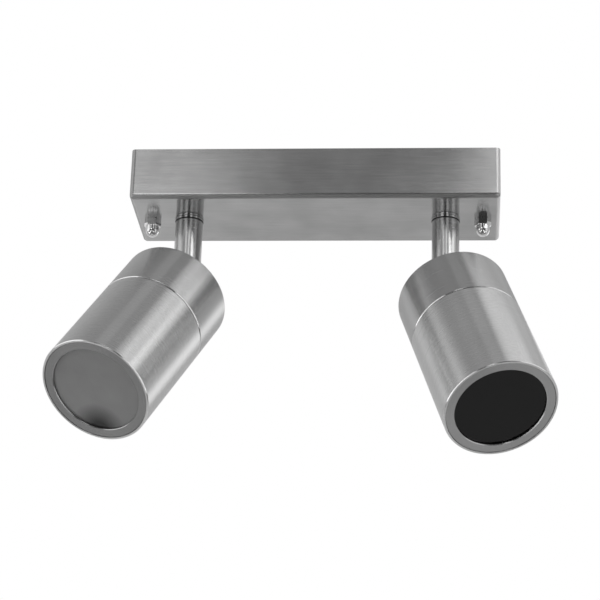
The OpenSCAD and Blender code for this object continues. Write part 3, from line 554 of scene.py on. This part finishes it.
# Finds both bevels of a tube, where a painted highlight goes
def both_bevel_highlights(tree, tilt, along):
    return sums(tree, "GREATER_THAN", sums(tree, "ABSOLUTE", tilt), BEVEL_FACING)


# Finds the front bevel of a tube, where a painted highlight goes
def front_bevel_highlight(tree, tilt, along):
    return sums(tree, "GREATER_THAN", tilt, BEVEL_FACING)


# A line of painted shade on the arm, next to its ring
def foot_shade(tree, tilt, along):
    return spread(tree, along, RING_FRONT + FOOT_SHADE_FULL, RING_FRONT + FOOT_SHADE_END, 1.0, 0.0)


# Painted shade in the ring's corners, darkest at its two ends
def ring_corner_shade(tree, tilt, along):
    off_middle = sums(tree, "ABSOLUTE", sums(tree, "SUBTRACT", along, RING_FRONT / 2))
    return spread(tree, off_middle, RING_CORNER_SHADE_START, RING_FRONT / 2)


# %% Turned finishes
front_steel, rear_steel, bezel_steel = {}, {}, {}
rod_steel, ring_steel, knuckle_steel = {}, {}, {}
# Each head's tones hold painted light and shade: they differ by the light it catches
for side, front_tone_and_light, rear_tone_and_light, bezel_tone_and_light in (("left", 0.67, 0.61, 0.47),
                                                ("right", 0.71, 0.56, 0.62)):
    on_head = {"centre": middle(f"{side}_joint_seal"), "axis": head_axis[side]}
    on_arm = {"centre": arm_foot[side], "axis": arm_axis[side]}
    # Both tubes of a head get a painted highlight on their bevels
    front_steel[side] = turned_finish(
        f"{side}_front_steel", **on_head, tone=front_tone_and_light, contrast=0.040, roughness=0.26,
        anisotropy=0.92, depth=2 * MICRON, edge=(both_bevel_highlights, BEVEL_HIGHLIGHT_TONE, BEVEL_ROUGHNESS))
    rear_steel[side] = turned_finish(
        f"{side}_rear_steel", **on_head, tone=rear_tone_and_light, contrast=0.045, roughness=0.25,
        anisotropy=0.92, depth=2 * MICRON, edge=(front_bevel_highlight, BEVEL_HIGHLIGHT_TONE, BEVEL_ROUGHNESS))
    bezel_steel[side] = turned_finish(
        f"{side}_bezel_steel", **on_head, tone=bezel_tone_and_light, contrast=0.06, roughness=0.24,
        anisotropy=0.5, depth=6 * MICRON)
    # The arm gets a line of painted shade at its foot
    rod_steel[side] = turned_finish(
        f"{side}_rod_steel", **on_arm, tone=0.61, contrast=0.03, roughness=0.25,
        anisotropy=0.40, depth=0.5 * MICRON, edge=(foot_shade, FOOT_SHADE_TONE, SHADED_EDGE_ROUGHNESS))
    # The ring gets painted shade in its corners
    ring_steel[side] = turned_finish(
        f"{side}_ring_steel", **on_arm, tone=0.72, contrast=0.04, roughness=0.08,
        anisotropy=0.5, depth=2 * MICRON,
        edge=(ring_corner_shade, RING_CORNER_SHADE_TONE, SHADED_EDGE_ROUGHNESS))
    knuckle_steel[side] = turned_finish(
        f"{side}_knuckle_steel", **on_head, tone=0.66, contrast=0.05, roughness=0.15,
        anisotropy=0.90, depth=3 * MICRON)
print("steel finishes", [m.name for m in bpy.data.materials if m.name.endswith("_steel")])

# %% [markdown]
# ## Polished, plated and plain finishes
# The dome nuts are mirror-bright chrome, with faint wiping marks. The hidden steel is
# zinc plated, which has a soft bluish and yellowish cloud. Rubber is dull with a fine
# skin, mouldings have a slight orange peel, and brass keeps the marks of its turning.

# %% Chrome and plain finishes
# The noise at which a clouded colour is darkest and lightest, and the drift of roughness
CLOUD_LOW, CLOUD_HIGH = 0.35, 0.65
SKIN_DRIFT = 0.06


def chrome_finish():
    finish, tree, shader = start_finish("dome_nut_chrome", metallic=1.0)
    wipe = noise(tree, place_on(tree), scale=900.0, detail=3.0)
    wave = noise(tree, place_on(tree), scale=260.0, detail=1.0)
    feed(tree, shader["Base Color"], shade(tree, wipe, grey(0.84), grey(0.92)))
    feed(tree, shader["Roughness"],
         spread(tree, wipe, NOISE_LOW, NOISE_HIGH, to_low=0.02, to_high=0.07))
    feed(tree, shader["Normal"], bump(tree, wave, 10 * MICRON))
    return finish


def clouded_finish(name, dark, light, roughness, metallic, cloud, grain, microns):
    """Colour and roughness that drift over a fine raised grain.

    cloud and grain are the scales of the two noises, and microns is the grain's height.
    """
    finish, tree, shader = start_finish(name, metallic=metallic)
    clouds = noise(tree, place_on(tree), cloud, detail=3.0)
    skin = noise(tree, place_on(tree), grain)
    colour = shade(tree, spread(tree, clouds, CLOUD_LOW, CLOUD_HIGH), dark, light)
    feed(tree, shader["Base Color"], colour)
    feed(tree, shader["Roughness"],
         spread(tree, skin, NOISE_LOW, NOISE_HIGH, roughness - SKIN_DRIFT, roughness + SKIN_DRIFT))
    feed(tree, shader["Normal"], bump(tree, skin, microns * MICRON))
    return finish


chrome = chrome_finish()
zinc = clouded_finish("zinc_plate", (0.57, 0.58, 0.60), (0.62, 0.62, 0.60),
                      roughness=0.34, metallic=1.0, cloud=140.0, grain=2600.0, microns=20)
spring = clouded_finish("spring_steel_blued", grey(0.16), grey(0.28),
                        roughness=0.32, metallic=1.0, cloud=300.0, grain=3000.0, microns=10)
screw_steel = clouded_finish("screw_steel", grey(0.5), grey(0.62),
                             roughness=0.24, metallic=1.0, cloud=500.0, grain=4000.0, microns=10)
rubber = clouded_finish("black_rubber", grey(0.016), grey(0.030),
                        roughness=0.66, metallic=0.0, cloud=200.0, grain=2400.0, microns=50)
plastic = clouded_finish("white_moulding", (0.72, 0.71, 0.67), (0.80, 0.79, 0.75),
                         roughness=0.40, metallic=0.0, cloud=120.0, grain=1800.0, microns=30)
brass = clouded_finish("plain_brass", (0.58, 0.40, 0.16), (0.74, 0.54, 0.24),
                       roughness=0.30, metallic=1.0, cloud=260.0, grain=3200.0, microns=10)
ceramic = clouded_finish("ivory_ceramic", (0.74, 0.71, 0.62), (0.83, 0.80, 0.72),
                         roughness=0.46, metallic=0.0, cloud=180.0, grain=2200.0, microns=40)
brown = clouded_finish("brown_lead_skin", (0.10, 0.040, 0.018), (0.15, 0.060, 0.026),
                       roughness=0.38, metallic=0.0, cloud=400.0, grain=3000.0, microns=20)
blue = clouded_finish("blue_lead_skin", (0.020, 0.075, 0.30), (0.030, 0.110, 0.40),
                      roughness=0.38, metallic=0.0, cloud=400.0, grain=3000.0, microns=20)


# %% [markdown]
# The earth lead is green with a yellow stripe along it. The stripe reads how far round
# the lead a point lies, a number that is stored on the mesh when the lead is made. The
# sleeve round an arm's leads is glass fibre: off-white strands over a greyer lining.

# %% Striped lead and sleeve finishes
# The cosine of the angle round the lead at which the stripe begins
STRIPE_EDGE = 0.45


def earth_finish():
    finish, tree, shader = start_finish("green_yellow_lead_skin", roughness=0.38)
    side_of_lead = tree.nodes.new("ShaderNodeAttribute")
    side_of_lead.attribute_name = "side_of_lead"
    stripe = sums(tree, "GREATER_THAN", side_of_lead.outputs["Fac"], STRIPE_EDGE)
    green, yellow = (0.030, 0.20, 0.045), (0.75, 0.62, 0.05)
    feed(tree, shader["Base Color"], shade(tree, stripe, green, yellow))
    skin = noise(tree, place_on(tree), scale=3000.0)
    feed(tree, shader["Normal"], bump(tree, skin, 20 * MICRON))
    return finish


earth_green = earth_finish()
strand_white = clouded_finish("glass_fibre_strand", (0.72, 0.70, 0.63), (0.86, 0.85, 0.79),
                              roughness=0.58, metallic=0.0, cloud=900.0, grain=9000.0, microns=30)
sleeve_lining = clouded_finish("sleeve_lining", (0.42, 0.41, 0.37), (0.55, 0.54, 0.49),
                               roughness=0.75, metallic=0.0, cloud=500.0, grain=6000.0, microns=40)
print("lead finishes", brown.name, blue.name, earth_green.name, strand_white.name)

# %% [markdown]
# ## Glass
# Both front glasses are clear and toughened, over a dark inside, and their dark base
# colours are painted shade of that inside. The right one is nearly black and shows
# what it reflects. The left one is grey, painted light that its head catches, with a
# painted shadow near its lower edge. The grey is a base colour that lets little light
# through, and it fades with the distance from a point near that edge.

# %% Glass
GLASS_IOR = 1.43
# From the middle of the left glass to the middle of its painted shadow
TO_PAINTED_SHADOW = Vector((0, -14 * MM, -21 * MM))
# How far round that point the painted shadow is full, how far off it ends, and the share of painted
# light left in it
SHADOW_FULL_RADIUS, SHADOW_END_RADIUS, SHADOW_LIGHT_SHARE = 5 * MM, 16 * MM, 0.10


def glass_finish(name, dark, light, through, painted_shadow_place=None):
    """Glass that lets a share of the light through; a painted shadow can darken it near a place."""
    finish, tree, shader = start_finish(name, ior=GLASS_IOR, transmission_weight=through)
    drift = noise(tree, place_on(tree), scale=60.0, detail=3.0)
    painted_light_share = spread(tree, drift, low=0.25, high=0.75, to_low=0.85)
    if painted_shadow_place:
        from_thin = vectors(tree, "DISTANCE", place_on(tree), painted_shadow_place, output=1)
        painted_light_share = sums(tree, "MULTIPLY", painted_light_share,
                    spread(tree, from_thin, SHADOW_FULL_RADIUS, SHADOW_END_RADIUS, to_low=SHADOW_LIGHT_SHARE))
    feed(tree, shader["Base Color"], shade(tree, painted_light_share, dark, light))
    smears = noise(tree, place_on(tree), scale=220.0)
    feed(tree, shader["Roughness"],
         spread(tree, smears, low=0.35, high=0.7, to_low=0.02, to_high=0.06))
    return finish


# The right glass is nearly black, painted shade; the left is grey, painted light, with a painted
# shadow
glass_painted_shade = glass_finish("front_glass_painted_shade", grey(0.006), grey(0.010), through=0.85)
glass_painted_light = glass_finish("front_glass_painted_light", grey(0.02), grey(0.42), through=0.12,
                           painted_shadow_place=middle("left_glass") + TO_PAINTED_SHADOW)
glass = {"left": glass_painted_light, "right": glass_painted_shade}
print("glass finishes", {side: finish.name for side, finish in glass.items()})

# %% [markdown]
# ## Leads, threads and braid
# Some small forms follow a path or repeat many times: the leads, the thread of the
# two studs, and the braid of the sleeves. Each turn by hand would be slow and uneven,
# so Geometry Nodes make them from a few sizes. Each tree below has named inputs for
# those sizes. Its result is turned into a plain mesh that carries its place in its
# points, because the export needs plain meshes that sit at the origin.

# %% Helpers for node trees
SOCKET_OF = {float: "NodeSocketFloat", int: "NodeSocketInt", Vector: "NodeSocketVector"}


def start_tree(name, **sizes):
    """A Geometry Nodes tree with a named input for each size."""
    tree = bpy.data.node_groups.new(name, "GeometryNodeTree")
    for way in ("INPUT", "OUTPUT"):
        tree.interface.new_socket("Geometry", in_out=way, socket_type="NodeSocketGeometry")
    for size, value in sizes.items():
        made = tree.interface.new_socket(size.replace("_", " ").capitalize(), in_out="INPUT",
                                         socket_type=SOCKET_OF[type(value)])
        made.default_value = value
    tree.interface.new_socket("Finish", in_out="INPUT", socket_type="NodeSocketMaterial")
    return tree, tree.nodes.new("NodeGroupInput").outputs


def step(tree, kind, *values, output=0, settings=(), **named):
    """One node: values fill its first sockets, named ones the sockets of that name."""
    made = tree.nodes.new(kind)
    for setting, value in settings:
        setattr(made, setting, value)
    for socket, value in zip([s for s in made.inputs if s.enabled], values):
        feed(tree, socket, value)
    for name, value in named.items():
        feed(tree, made.inputs[name.replace("_", " ").title()], value)
    return made.outputs[output]


def end_tree(tree, geometry, given):
    """Makes the copies real and gives them the finish."""
    real = step(tree, "GeometryNodeRealizeInstances", geometry)
    dressed = step(tree, "GeometryNodeSetMaterial", real, True, given["Finish"])
    feed(tree, tree.nodes.new("NodeGroupOutput").inputs[0], dressed)
    print(tree.name, "has", len(tree.nodes), "nodes")


def points_mesh(name, points, edges=()):
    made = bpy.data.meshes.new(name)
    made.from_pydata([Vector(p) for p in points], list(edges), [])
    return made


def grow(name, start, tree, finish, slot, body, **sizes):
    """Runs a tree on a start mesh and leaves a plain mesh that rides on a body."""
    seed = bpy.data.objects.new(name + "_start", start)
    bpy.context.scene.collection.objects.link(seed)
    modifier = seed.modifiers.new("grow", "NODES")
    modifier.node_group = tree
    wanted = {size.replace("_", " ").capitalize(): value for size, value in sizes.items()}
    wanted["Finish"] = finish
    for item in tree.interface.items_tree:
        if item.in_out == "INPUT" and item.name in wanted:
            modifier[item.identifier] = wanted[item.name]
    shown = seed.evaluated_get(bpy.context.evaluated_depsgraph_get())
    mesh = bpy.data.meshes.new_from_object(shown)
    mesh.materials.clear()
    mesh.materials.append(finish)
    mesh.polygons.foreach_set("material_index", [0] * len(mesh.polygons))
    seed.modifiers.remove(modifier)
    bpy.data.objects.remove(seed)
    piece = bpy.data.objects.new(name, mesh)
    bpy.context.scene.collection.objects.link(piece)
    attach(piece, body)
    print(name, len(mesh.polygons), "faces")
    return piece


# %% [markdown]
# The leads are single insulated wires from the arms to the terminal block, and one
# more from there to the earth tag. In the CAD model they have eight flat sides, enough
# to keep the room they need. Here each follows the same route as a round tube: Fillet
# Curve rounds the corners of the route, and Curve to Mesh carries a circle along it.
# The circle also stores how far round the wire a point lies, for the earth's stripe.

# %% Lead tree
BEND_POINTS = 8

lead_tree, given = start_tree("lead_along_a_route", lead_radius=0.0009, bend_radius=0.0024,
                              sides=20)
route = step(lead_tree, "GeometryNodeMeshToCurve", given["Geometry"])
rounded = step(lead_tree, "GeometryNodeFilletCurve", route, BEND_POINTS, given["Bend radius"], True,
               settings=(("mode", "POLY"),))
section = step(lead_tree, "GeometryNodeCurvePrimitiveCircle", given["Sides"],
               Radius=given["Lead radius"])
turned = sums(lead_tree, "MULTIPLY", step(lead_tree, "GeometryNodeSplineParameter"), 2 * math.pi)
section = step(lead_tree, "GeometryNodeStoreNamedAttribute", section, True, "side_of_lead",
               sums(lead_tree, "COSINE", turned),
               settings=(("data_type", "FLOAT"), ("domain", "POINT")))
swept = step(lead_tree, "GeometryNodeCurveToMesh", rounded, section, Fill_Caps=True)
end_tree(lead_tree, step(lead_tree, "GeometryNodeSetShadeSmooth", swept), given)

# %% [markdown]
# The routes are the CAD model's own, in millimetres: to the right, up the wall, and
# out from it. Each arm's three leads turn under the stem, drop to a lane below the
# terminal block, run along it and rise into their pole. Live takes the nearest lane
# on the left and the farthest on the right, so that no two leads cross.

# %% Lead routes
# Where the leads start in the arms, and where their terminals are
ARM_X, LEAD_START = 70.5, 14.9
BLOCK_X, BLOCK_HALF, POLE_PITCH, WIRE_Z = -28.2, 10.0, 11.0, 7.0
# From a sleeve's middle to each lead, between two leads in a terminal, and between
# leads that leave an arm
LEAD_OFF, PAIR_OFF, FAN_STEP = 1.2, 0.95, 2.4
# Length of a lead inside its terminal, and from its corner to the start of its bend
LEAD_IN, LEAD_BEND = 3, 2
# From the block to the first lane and on to the next, and a lane's height by side
LANE_FIRST, LANE_STEP = 4.5, 2.5
LANE_Z = {-1: 6.6, 1: 9.2}
# Lane by lane: the direction in which a lead stands round the arm's axis, and the
# share of its start height at which it turns
LANE_ANGLES = (-30, 90, 210)
TURN_SHARES = (0.8, 0.56, 0.8)
TAG_END_X, TAG_Z = 17.8, 3.7


def arm_route(side, pole, lane):
    """From an arm to a pole; side is -1 or 1, pole -1 to 1, and lane 0 is the nearest."""
    angle = math.radians(LANE_ANGLES[lane])
    start_x = side * (ARM_X - LEAD_OFF * math.cos(angle))
    start_y = LEAD_OFF * math.sin(angle)
    lane_y = -(BLOCK_HALF + LANE_FIRST + LANE_STEP * lane)
    pole_x = BLOCK_X + POLE_PITCH * pole + side * PAIR_OFF
    return ((start_x, start_y, LEAD_START),
            (start_x, start_y, LEAD_START * TURN_SHARES[lane]),
            (side * (ARM_X - FAN_STEP * (1 - lane)), lane_y, LANE_Z[side]),
            (pole_x, lane_y, LANE_Z[side]),
            (pole_x, LEAD_IN - BLOCK_HALF, WIRE_Z))


EARTH_X, UPPER_LANE_Y = BLOCK_X + POLE_PITCH, BLOCK_HALF + LANE_FIRST
TAG_ROUTE = ((EARTH_X, BLOCK_HALF - LEAD_IN, WIRE_Z),
             (EARTH_X, UPPER_LANE_Y, WIRE_Z + LEAD_BEND),
             (TAG_END_X - 2 * LEAD_BEND, UPPER_LANE_Y, WIRE_Z + LEAD_BEND),
             (TAG_END_X - 2 * LEAD_BEND, 0, TAG_Z),
             (TAG_END_X + LEAD_IN, 0, TAG_Z))
LEADS = {
    "live_leads": (arm_route(-1, -1, 0), arm_route(1, -1, 2)),
    "neutral_leads": (arm_route(-1, 0, 1), arm_route(1, 0, 1)),
    "earth_leads": (arm_route(-1, 1, 2), arm_route(1, 1, 0), TAG_ROUTE),
}


def routes_mesh(name, routes):
    points, edges = [], []
    for route in routes:
        edges += [(len(points) + i, len(points) + i + 1) for i in range(len(route) - 1)]
        points += [(x * MM, -out * MM, up * MM) for x, up, out in route]
    return points_mesh(name, points, edges)


for name, finish, slot in (("live_leads", brown, "brown_insulation"),
                           ("neutral_leads", blue, "blue_insulation"),
                           ("earth_leads", earth_green, "earth_insulation")):
    round_leads = grow("round_" + name, routes_mesh(name + "_routes", LEADS[name]), lead_tree,
                       finish, slot, "base")
    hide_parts(name)

# %% [markdown]
# Each fixing stud is clinched into the wall bracket and runs through the box into its
# dome nut. The CAD model has it as a plain rod of the thread's outside diameter. Here
# Curve Spiral draws the thread's helix, which a small circle follows round a thinner
# core, and Instance on Points sets the finished stud at both places.

# %% Threaded studs
STEPS_A_TURN, RIDGE_SIDES, ROD_SIDES = 24, 6, 32
TIP_CHAMFER = 0.2 * MM

stud_tree, given = start_tree("threaded_stud", core_radius=0.00207, crest_radius=0.0025,
                              pitch=0.0008, thread_start=0.0024, thread_end=0.0352,
                              tip=0.0359, head_radius=0.0033, head_height=0.001)
thread_length = sums(stud_tree, "SUBTRACT", given["Thread end"], given["Thread start"])
helix = step(stud_tree, "GeometryNodeCurveSpiral", STEPS_A_TURN,
             sums(stud_tree, "DIVIDE", thread_length, given["Pitch"]),
             given["Core radius"], given["Core radius"], thread_length)
ridge = step(stud_tree, "GeometryNodeCurvePrimitiveCircle", RIDGE_SIDES,
             Radius=sums(stud_tree, "SUBTRACT", given["Crest radius"], given["Core radius"]))
thread = step(stud_tree, "GeometryNodeCurveToMesh", helix, ridge, Fill_Caps=True)
thread = step(stud_tree, "GeometryNodeTransform", thread,
              Translation=joined(stud_tree, 0, 0, given["Thread start"]))


def rod(tree, bottom_radius, top_radius, low, high):
    """A round rod from low to high, straight or tapered."""
    made = step(tree, "GeometryNodeMeshCone", ROD_SIDES, 1, 1, top_radius, bottom_radius,
                sums(tree, "SUBTRACT", high, low))
    return step(tree, "GeometryNodeTransform", made, Translation=joined(tree, 0, 0, low))


tip_radius = sums(stud_tree, "SUBTRACT", given["Core radius"], TIP_CHAMFER)
stud_parts = (
    thread,
    rod(stud_tree, given["Head radius"], given["Head radius"], 0.0, given["Head height"]),
    rod(stud_tree, given["Crest radius"], given["Crest radius"], 0.0, given["Thread start"]),
    rod(stud_tree, given["Core radius"], given["Core radius"], given["Thread start"],
        given["Thread end"]),
    rod(stud_tree, given["Crest radius"], tip_radius, given["Thread end"], given["Tip"]),
)
both = stud_tree.nodes.new("GeometryNodeJoinGeometry")
for part in stud_parts:
    feed(stud_tree, both.inputs[0], part)
outwards = step(stud_tree, "GeometryNodeTransform", both.outputs[0],
                Rotation=Vector((math.pi / 2, 0, 0)))
smooth_stud = step(stud_tree, "GeometryNodeSetShadeSmooth", outwards)
end_tree(stud_tree, step(stud_tree, "GeometryNodeInstanceOnPoints", given["Geometry"], True,
                         smooth_stud), given)

stud_low, stud_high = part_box("bracket_studs")
STUD_HEAD_RADIUS = (stud_high.z - stud_low.z) / 2
stud_places = [(stud_low.x + STUD_HEAD_RADIUS, 0, 0), (stud_high.x - STUD_HEAD_RADIUS, 0, 0)]
studs = grow("threaded_studs", points_mesh("stud_places", stud_places), stud_tree, zinc,
             "zinc_steel", "base", head_radius=STUD_HEAD_RADIUS, tip=-stud_low.y)
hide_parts("bracket_studs")

# %% [markdown]
# The leads leave each stem and each knuckle in a sleeve of braided glass fibre, which
# keeps its shape near the hot lamp. A braid is two sets of strands that wind opposite
# ways, and each strand goes over and under the others in turn. One spiral of each hand
# is pushed in and out by a cosine of its height, swept with a small circle, and then
# repeated round the axis.

# %% Braided sleeves
BRAID_STEPS_A_TURN, STRAND_SIDES = 60, 5
# Where the sleeves begin and end in millimetres, from an arm's foot and a head's pivot
ARM_SLEEVE, HEAD_SLEEVE = (-13.8, 28.1), (7.9, 24.8)

braid_tree, given = start_tree("braided_sleeve", sleeve_radius=0.0024, strand_radius=0.00024,
                               wave=0.00012, length=0.04, turn_length=0.015, strands=10,
                               place=Vector((0, 0, 0)), turn=Vector((0, 0, 0)))
rotations = sums(braid_tree, "DIVIDE", given["Length"], given["Turn length"])
spiral = step(braid_tree, "GeometryNodeCurveSpiral", BRAID_STEPS_A_TURN, rotations,
              given["Sleeve radius"], given["Sleeve radius"], given["Length"])
across, up, height = parts_of(braid_tree, step(braid_tree, "GeometryNodeInputPosition"))
turns_up = sums(braid_tree, "DIVIDE", height, given["Turn length"])
wave_angle = sums(braid_tree, "MULTIPLY", turns_up,
                  sums(braid_tree, "MULTIPLY", given["Strands"], 2 * math.pi))
push = sums(braid_tree, "MULTIPLY", sums(braid_tree, "COSINE", wave_angle), given["Wave"])
outward = vectors(braid_tree, "NORMALIZE", joined(braid_tree, across, up, 0))
circle = step(braid_tree, "GeometryNodeCurvePrimitiveCircle", STRAND_SIDES,
              Radius=given["Strand radius"])
strand_sets = braid_tree.nodes.new("GeometryNodeJoinGeometry")
for hand in (1, -1):
    shift = vectors(braid_tree, "SCALE", outward, factor=sums(braid_tree, "MULTIPLY", push, hand))
    waved = step(braid_tree, "GeometryNodeSetPosition", spiral, Offset=shift)
    handed = step(braid_tree, "GeometryNodeTransform", waved, Scale=Vector((hand, 1, 1)))
    feed(braid_tree, strand_sets.inputs[0],
         step(braid_tree, "GeometryNodeCurveToMesh", handed, circle, Fill_Caps=True))
spots = step(braid_tree, "GeometryNodePoints", given["Strands"])
steps_round = sums(braid_tree, "DIVIDE", 2 * math.pi, given["Strands"])
spin = joined(braid_tree, 0, 0, sums(braid_tree, "MULTIPLY",
                                     step(braid_tree, "GeometryNodeInputIndex"), steps_round))
ring_of_strands = step(braid_tree, "GeometryNodeInstanceOnPoints", spots, True,
                       strand_sets.outputs[0], Rotation=spin)
placed = step(braid_tree, "GeometryNodeTransform", ring_of_strands,
              Translation=given["Place"], Rotation=given["Turn"])
end_tree(braid_tree, step(braid_tree, "GeometryNodeSetShadeSmooth", placed), given)

for side in SIDES:
    for name, foot, axis, (low, high), body in (
        ("arm_braid", arm_foot[side], arm_axis[side], ARM_SLEEVE, f"{side}_arm"),
        ("head_braid", pivot[side], head_axis[side], HEAD_SLEEVE, f"{side}_head"),
    ):
        grow(f"{side}_{name}", points_mesh(f"{side}_{name}_start", [foot]), braid_tree,
             strand_white, "white_sleeving", body,
             length=(high - low) * MM, place=foot + axis * low * MM,
             turn=Vector(axis.to_track_quat("Z", "Y").to_euler()))

# %% [markdown]
# ## Dressing the solids
# Each solid keeps its mesh and gets its finish in its own material slot.

# %% Dress
finish_of = {
    "back_box": box_steel, "wall_gasket": rubber, "wall_bracket": zinc,
    "bracket_studs": zinc, "dome_nuts": chrome, "terminal_block": plastic,
    "terminal_inserts": brass, "terminal_screws": zinc, "block_screw": zinc,
    "earth_screw": zinc, "earth_tag": brass, "cable_grommet": rubber,
    "live_leads": brown, "neutral_leads": blue, "earth_leads": earth_green,
    "slide_washers": plastic, "stop_pins": zinc, "stem_seals": rubber,
}
for side in SIDES:
    for piece, finish in (
        ("arm", rod_steel[side]), ("base_ring", ring_steel[side]), ("stop_plate", zinc),
        ("disc_spring", spring), ("stem_nuts", zinc), ("arm_leads", sleeve_lining),
        ("pivot_screw", screw_steel), ("knuckle", knuckle_steel[side]),
        ("knuckle_nut", zinc), ("pivot_nut", zinc), ("rear_housing", rear_steel[side]),
        ("front_housing", front_steel[side]), ("joint_seal", rubber),
        ("bezel", bezel_steel[side]), ("glass", glass[side]), ("glass_seal", rubber),
        ("lampholder", ceramic), ("holder_bracket", zinc), ("holder_screws", zinc),
        ("head_leads", sleeve_lining),
    ):
        finish_of[f"{side}_{piece}"] = finish

for name, solid in nodes.items():
    for slot in solid.material_slots:
        slot.material = finish_of[name]
finish_names = set(finish.name for finish in finish_of.values())
print(len(finish_of), "solids dressed with", len(finish_names), "finishes")
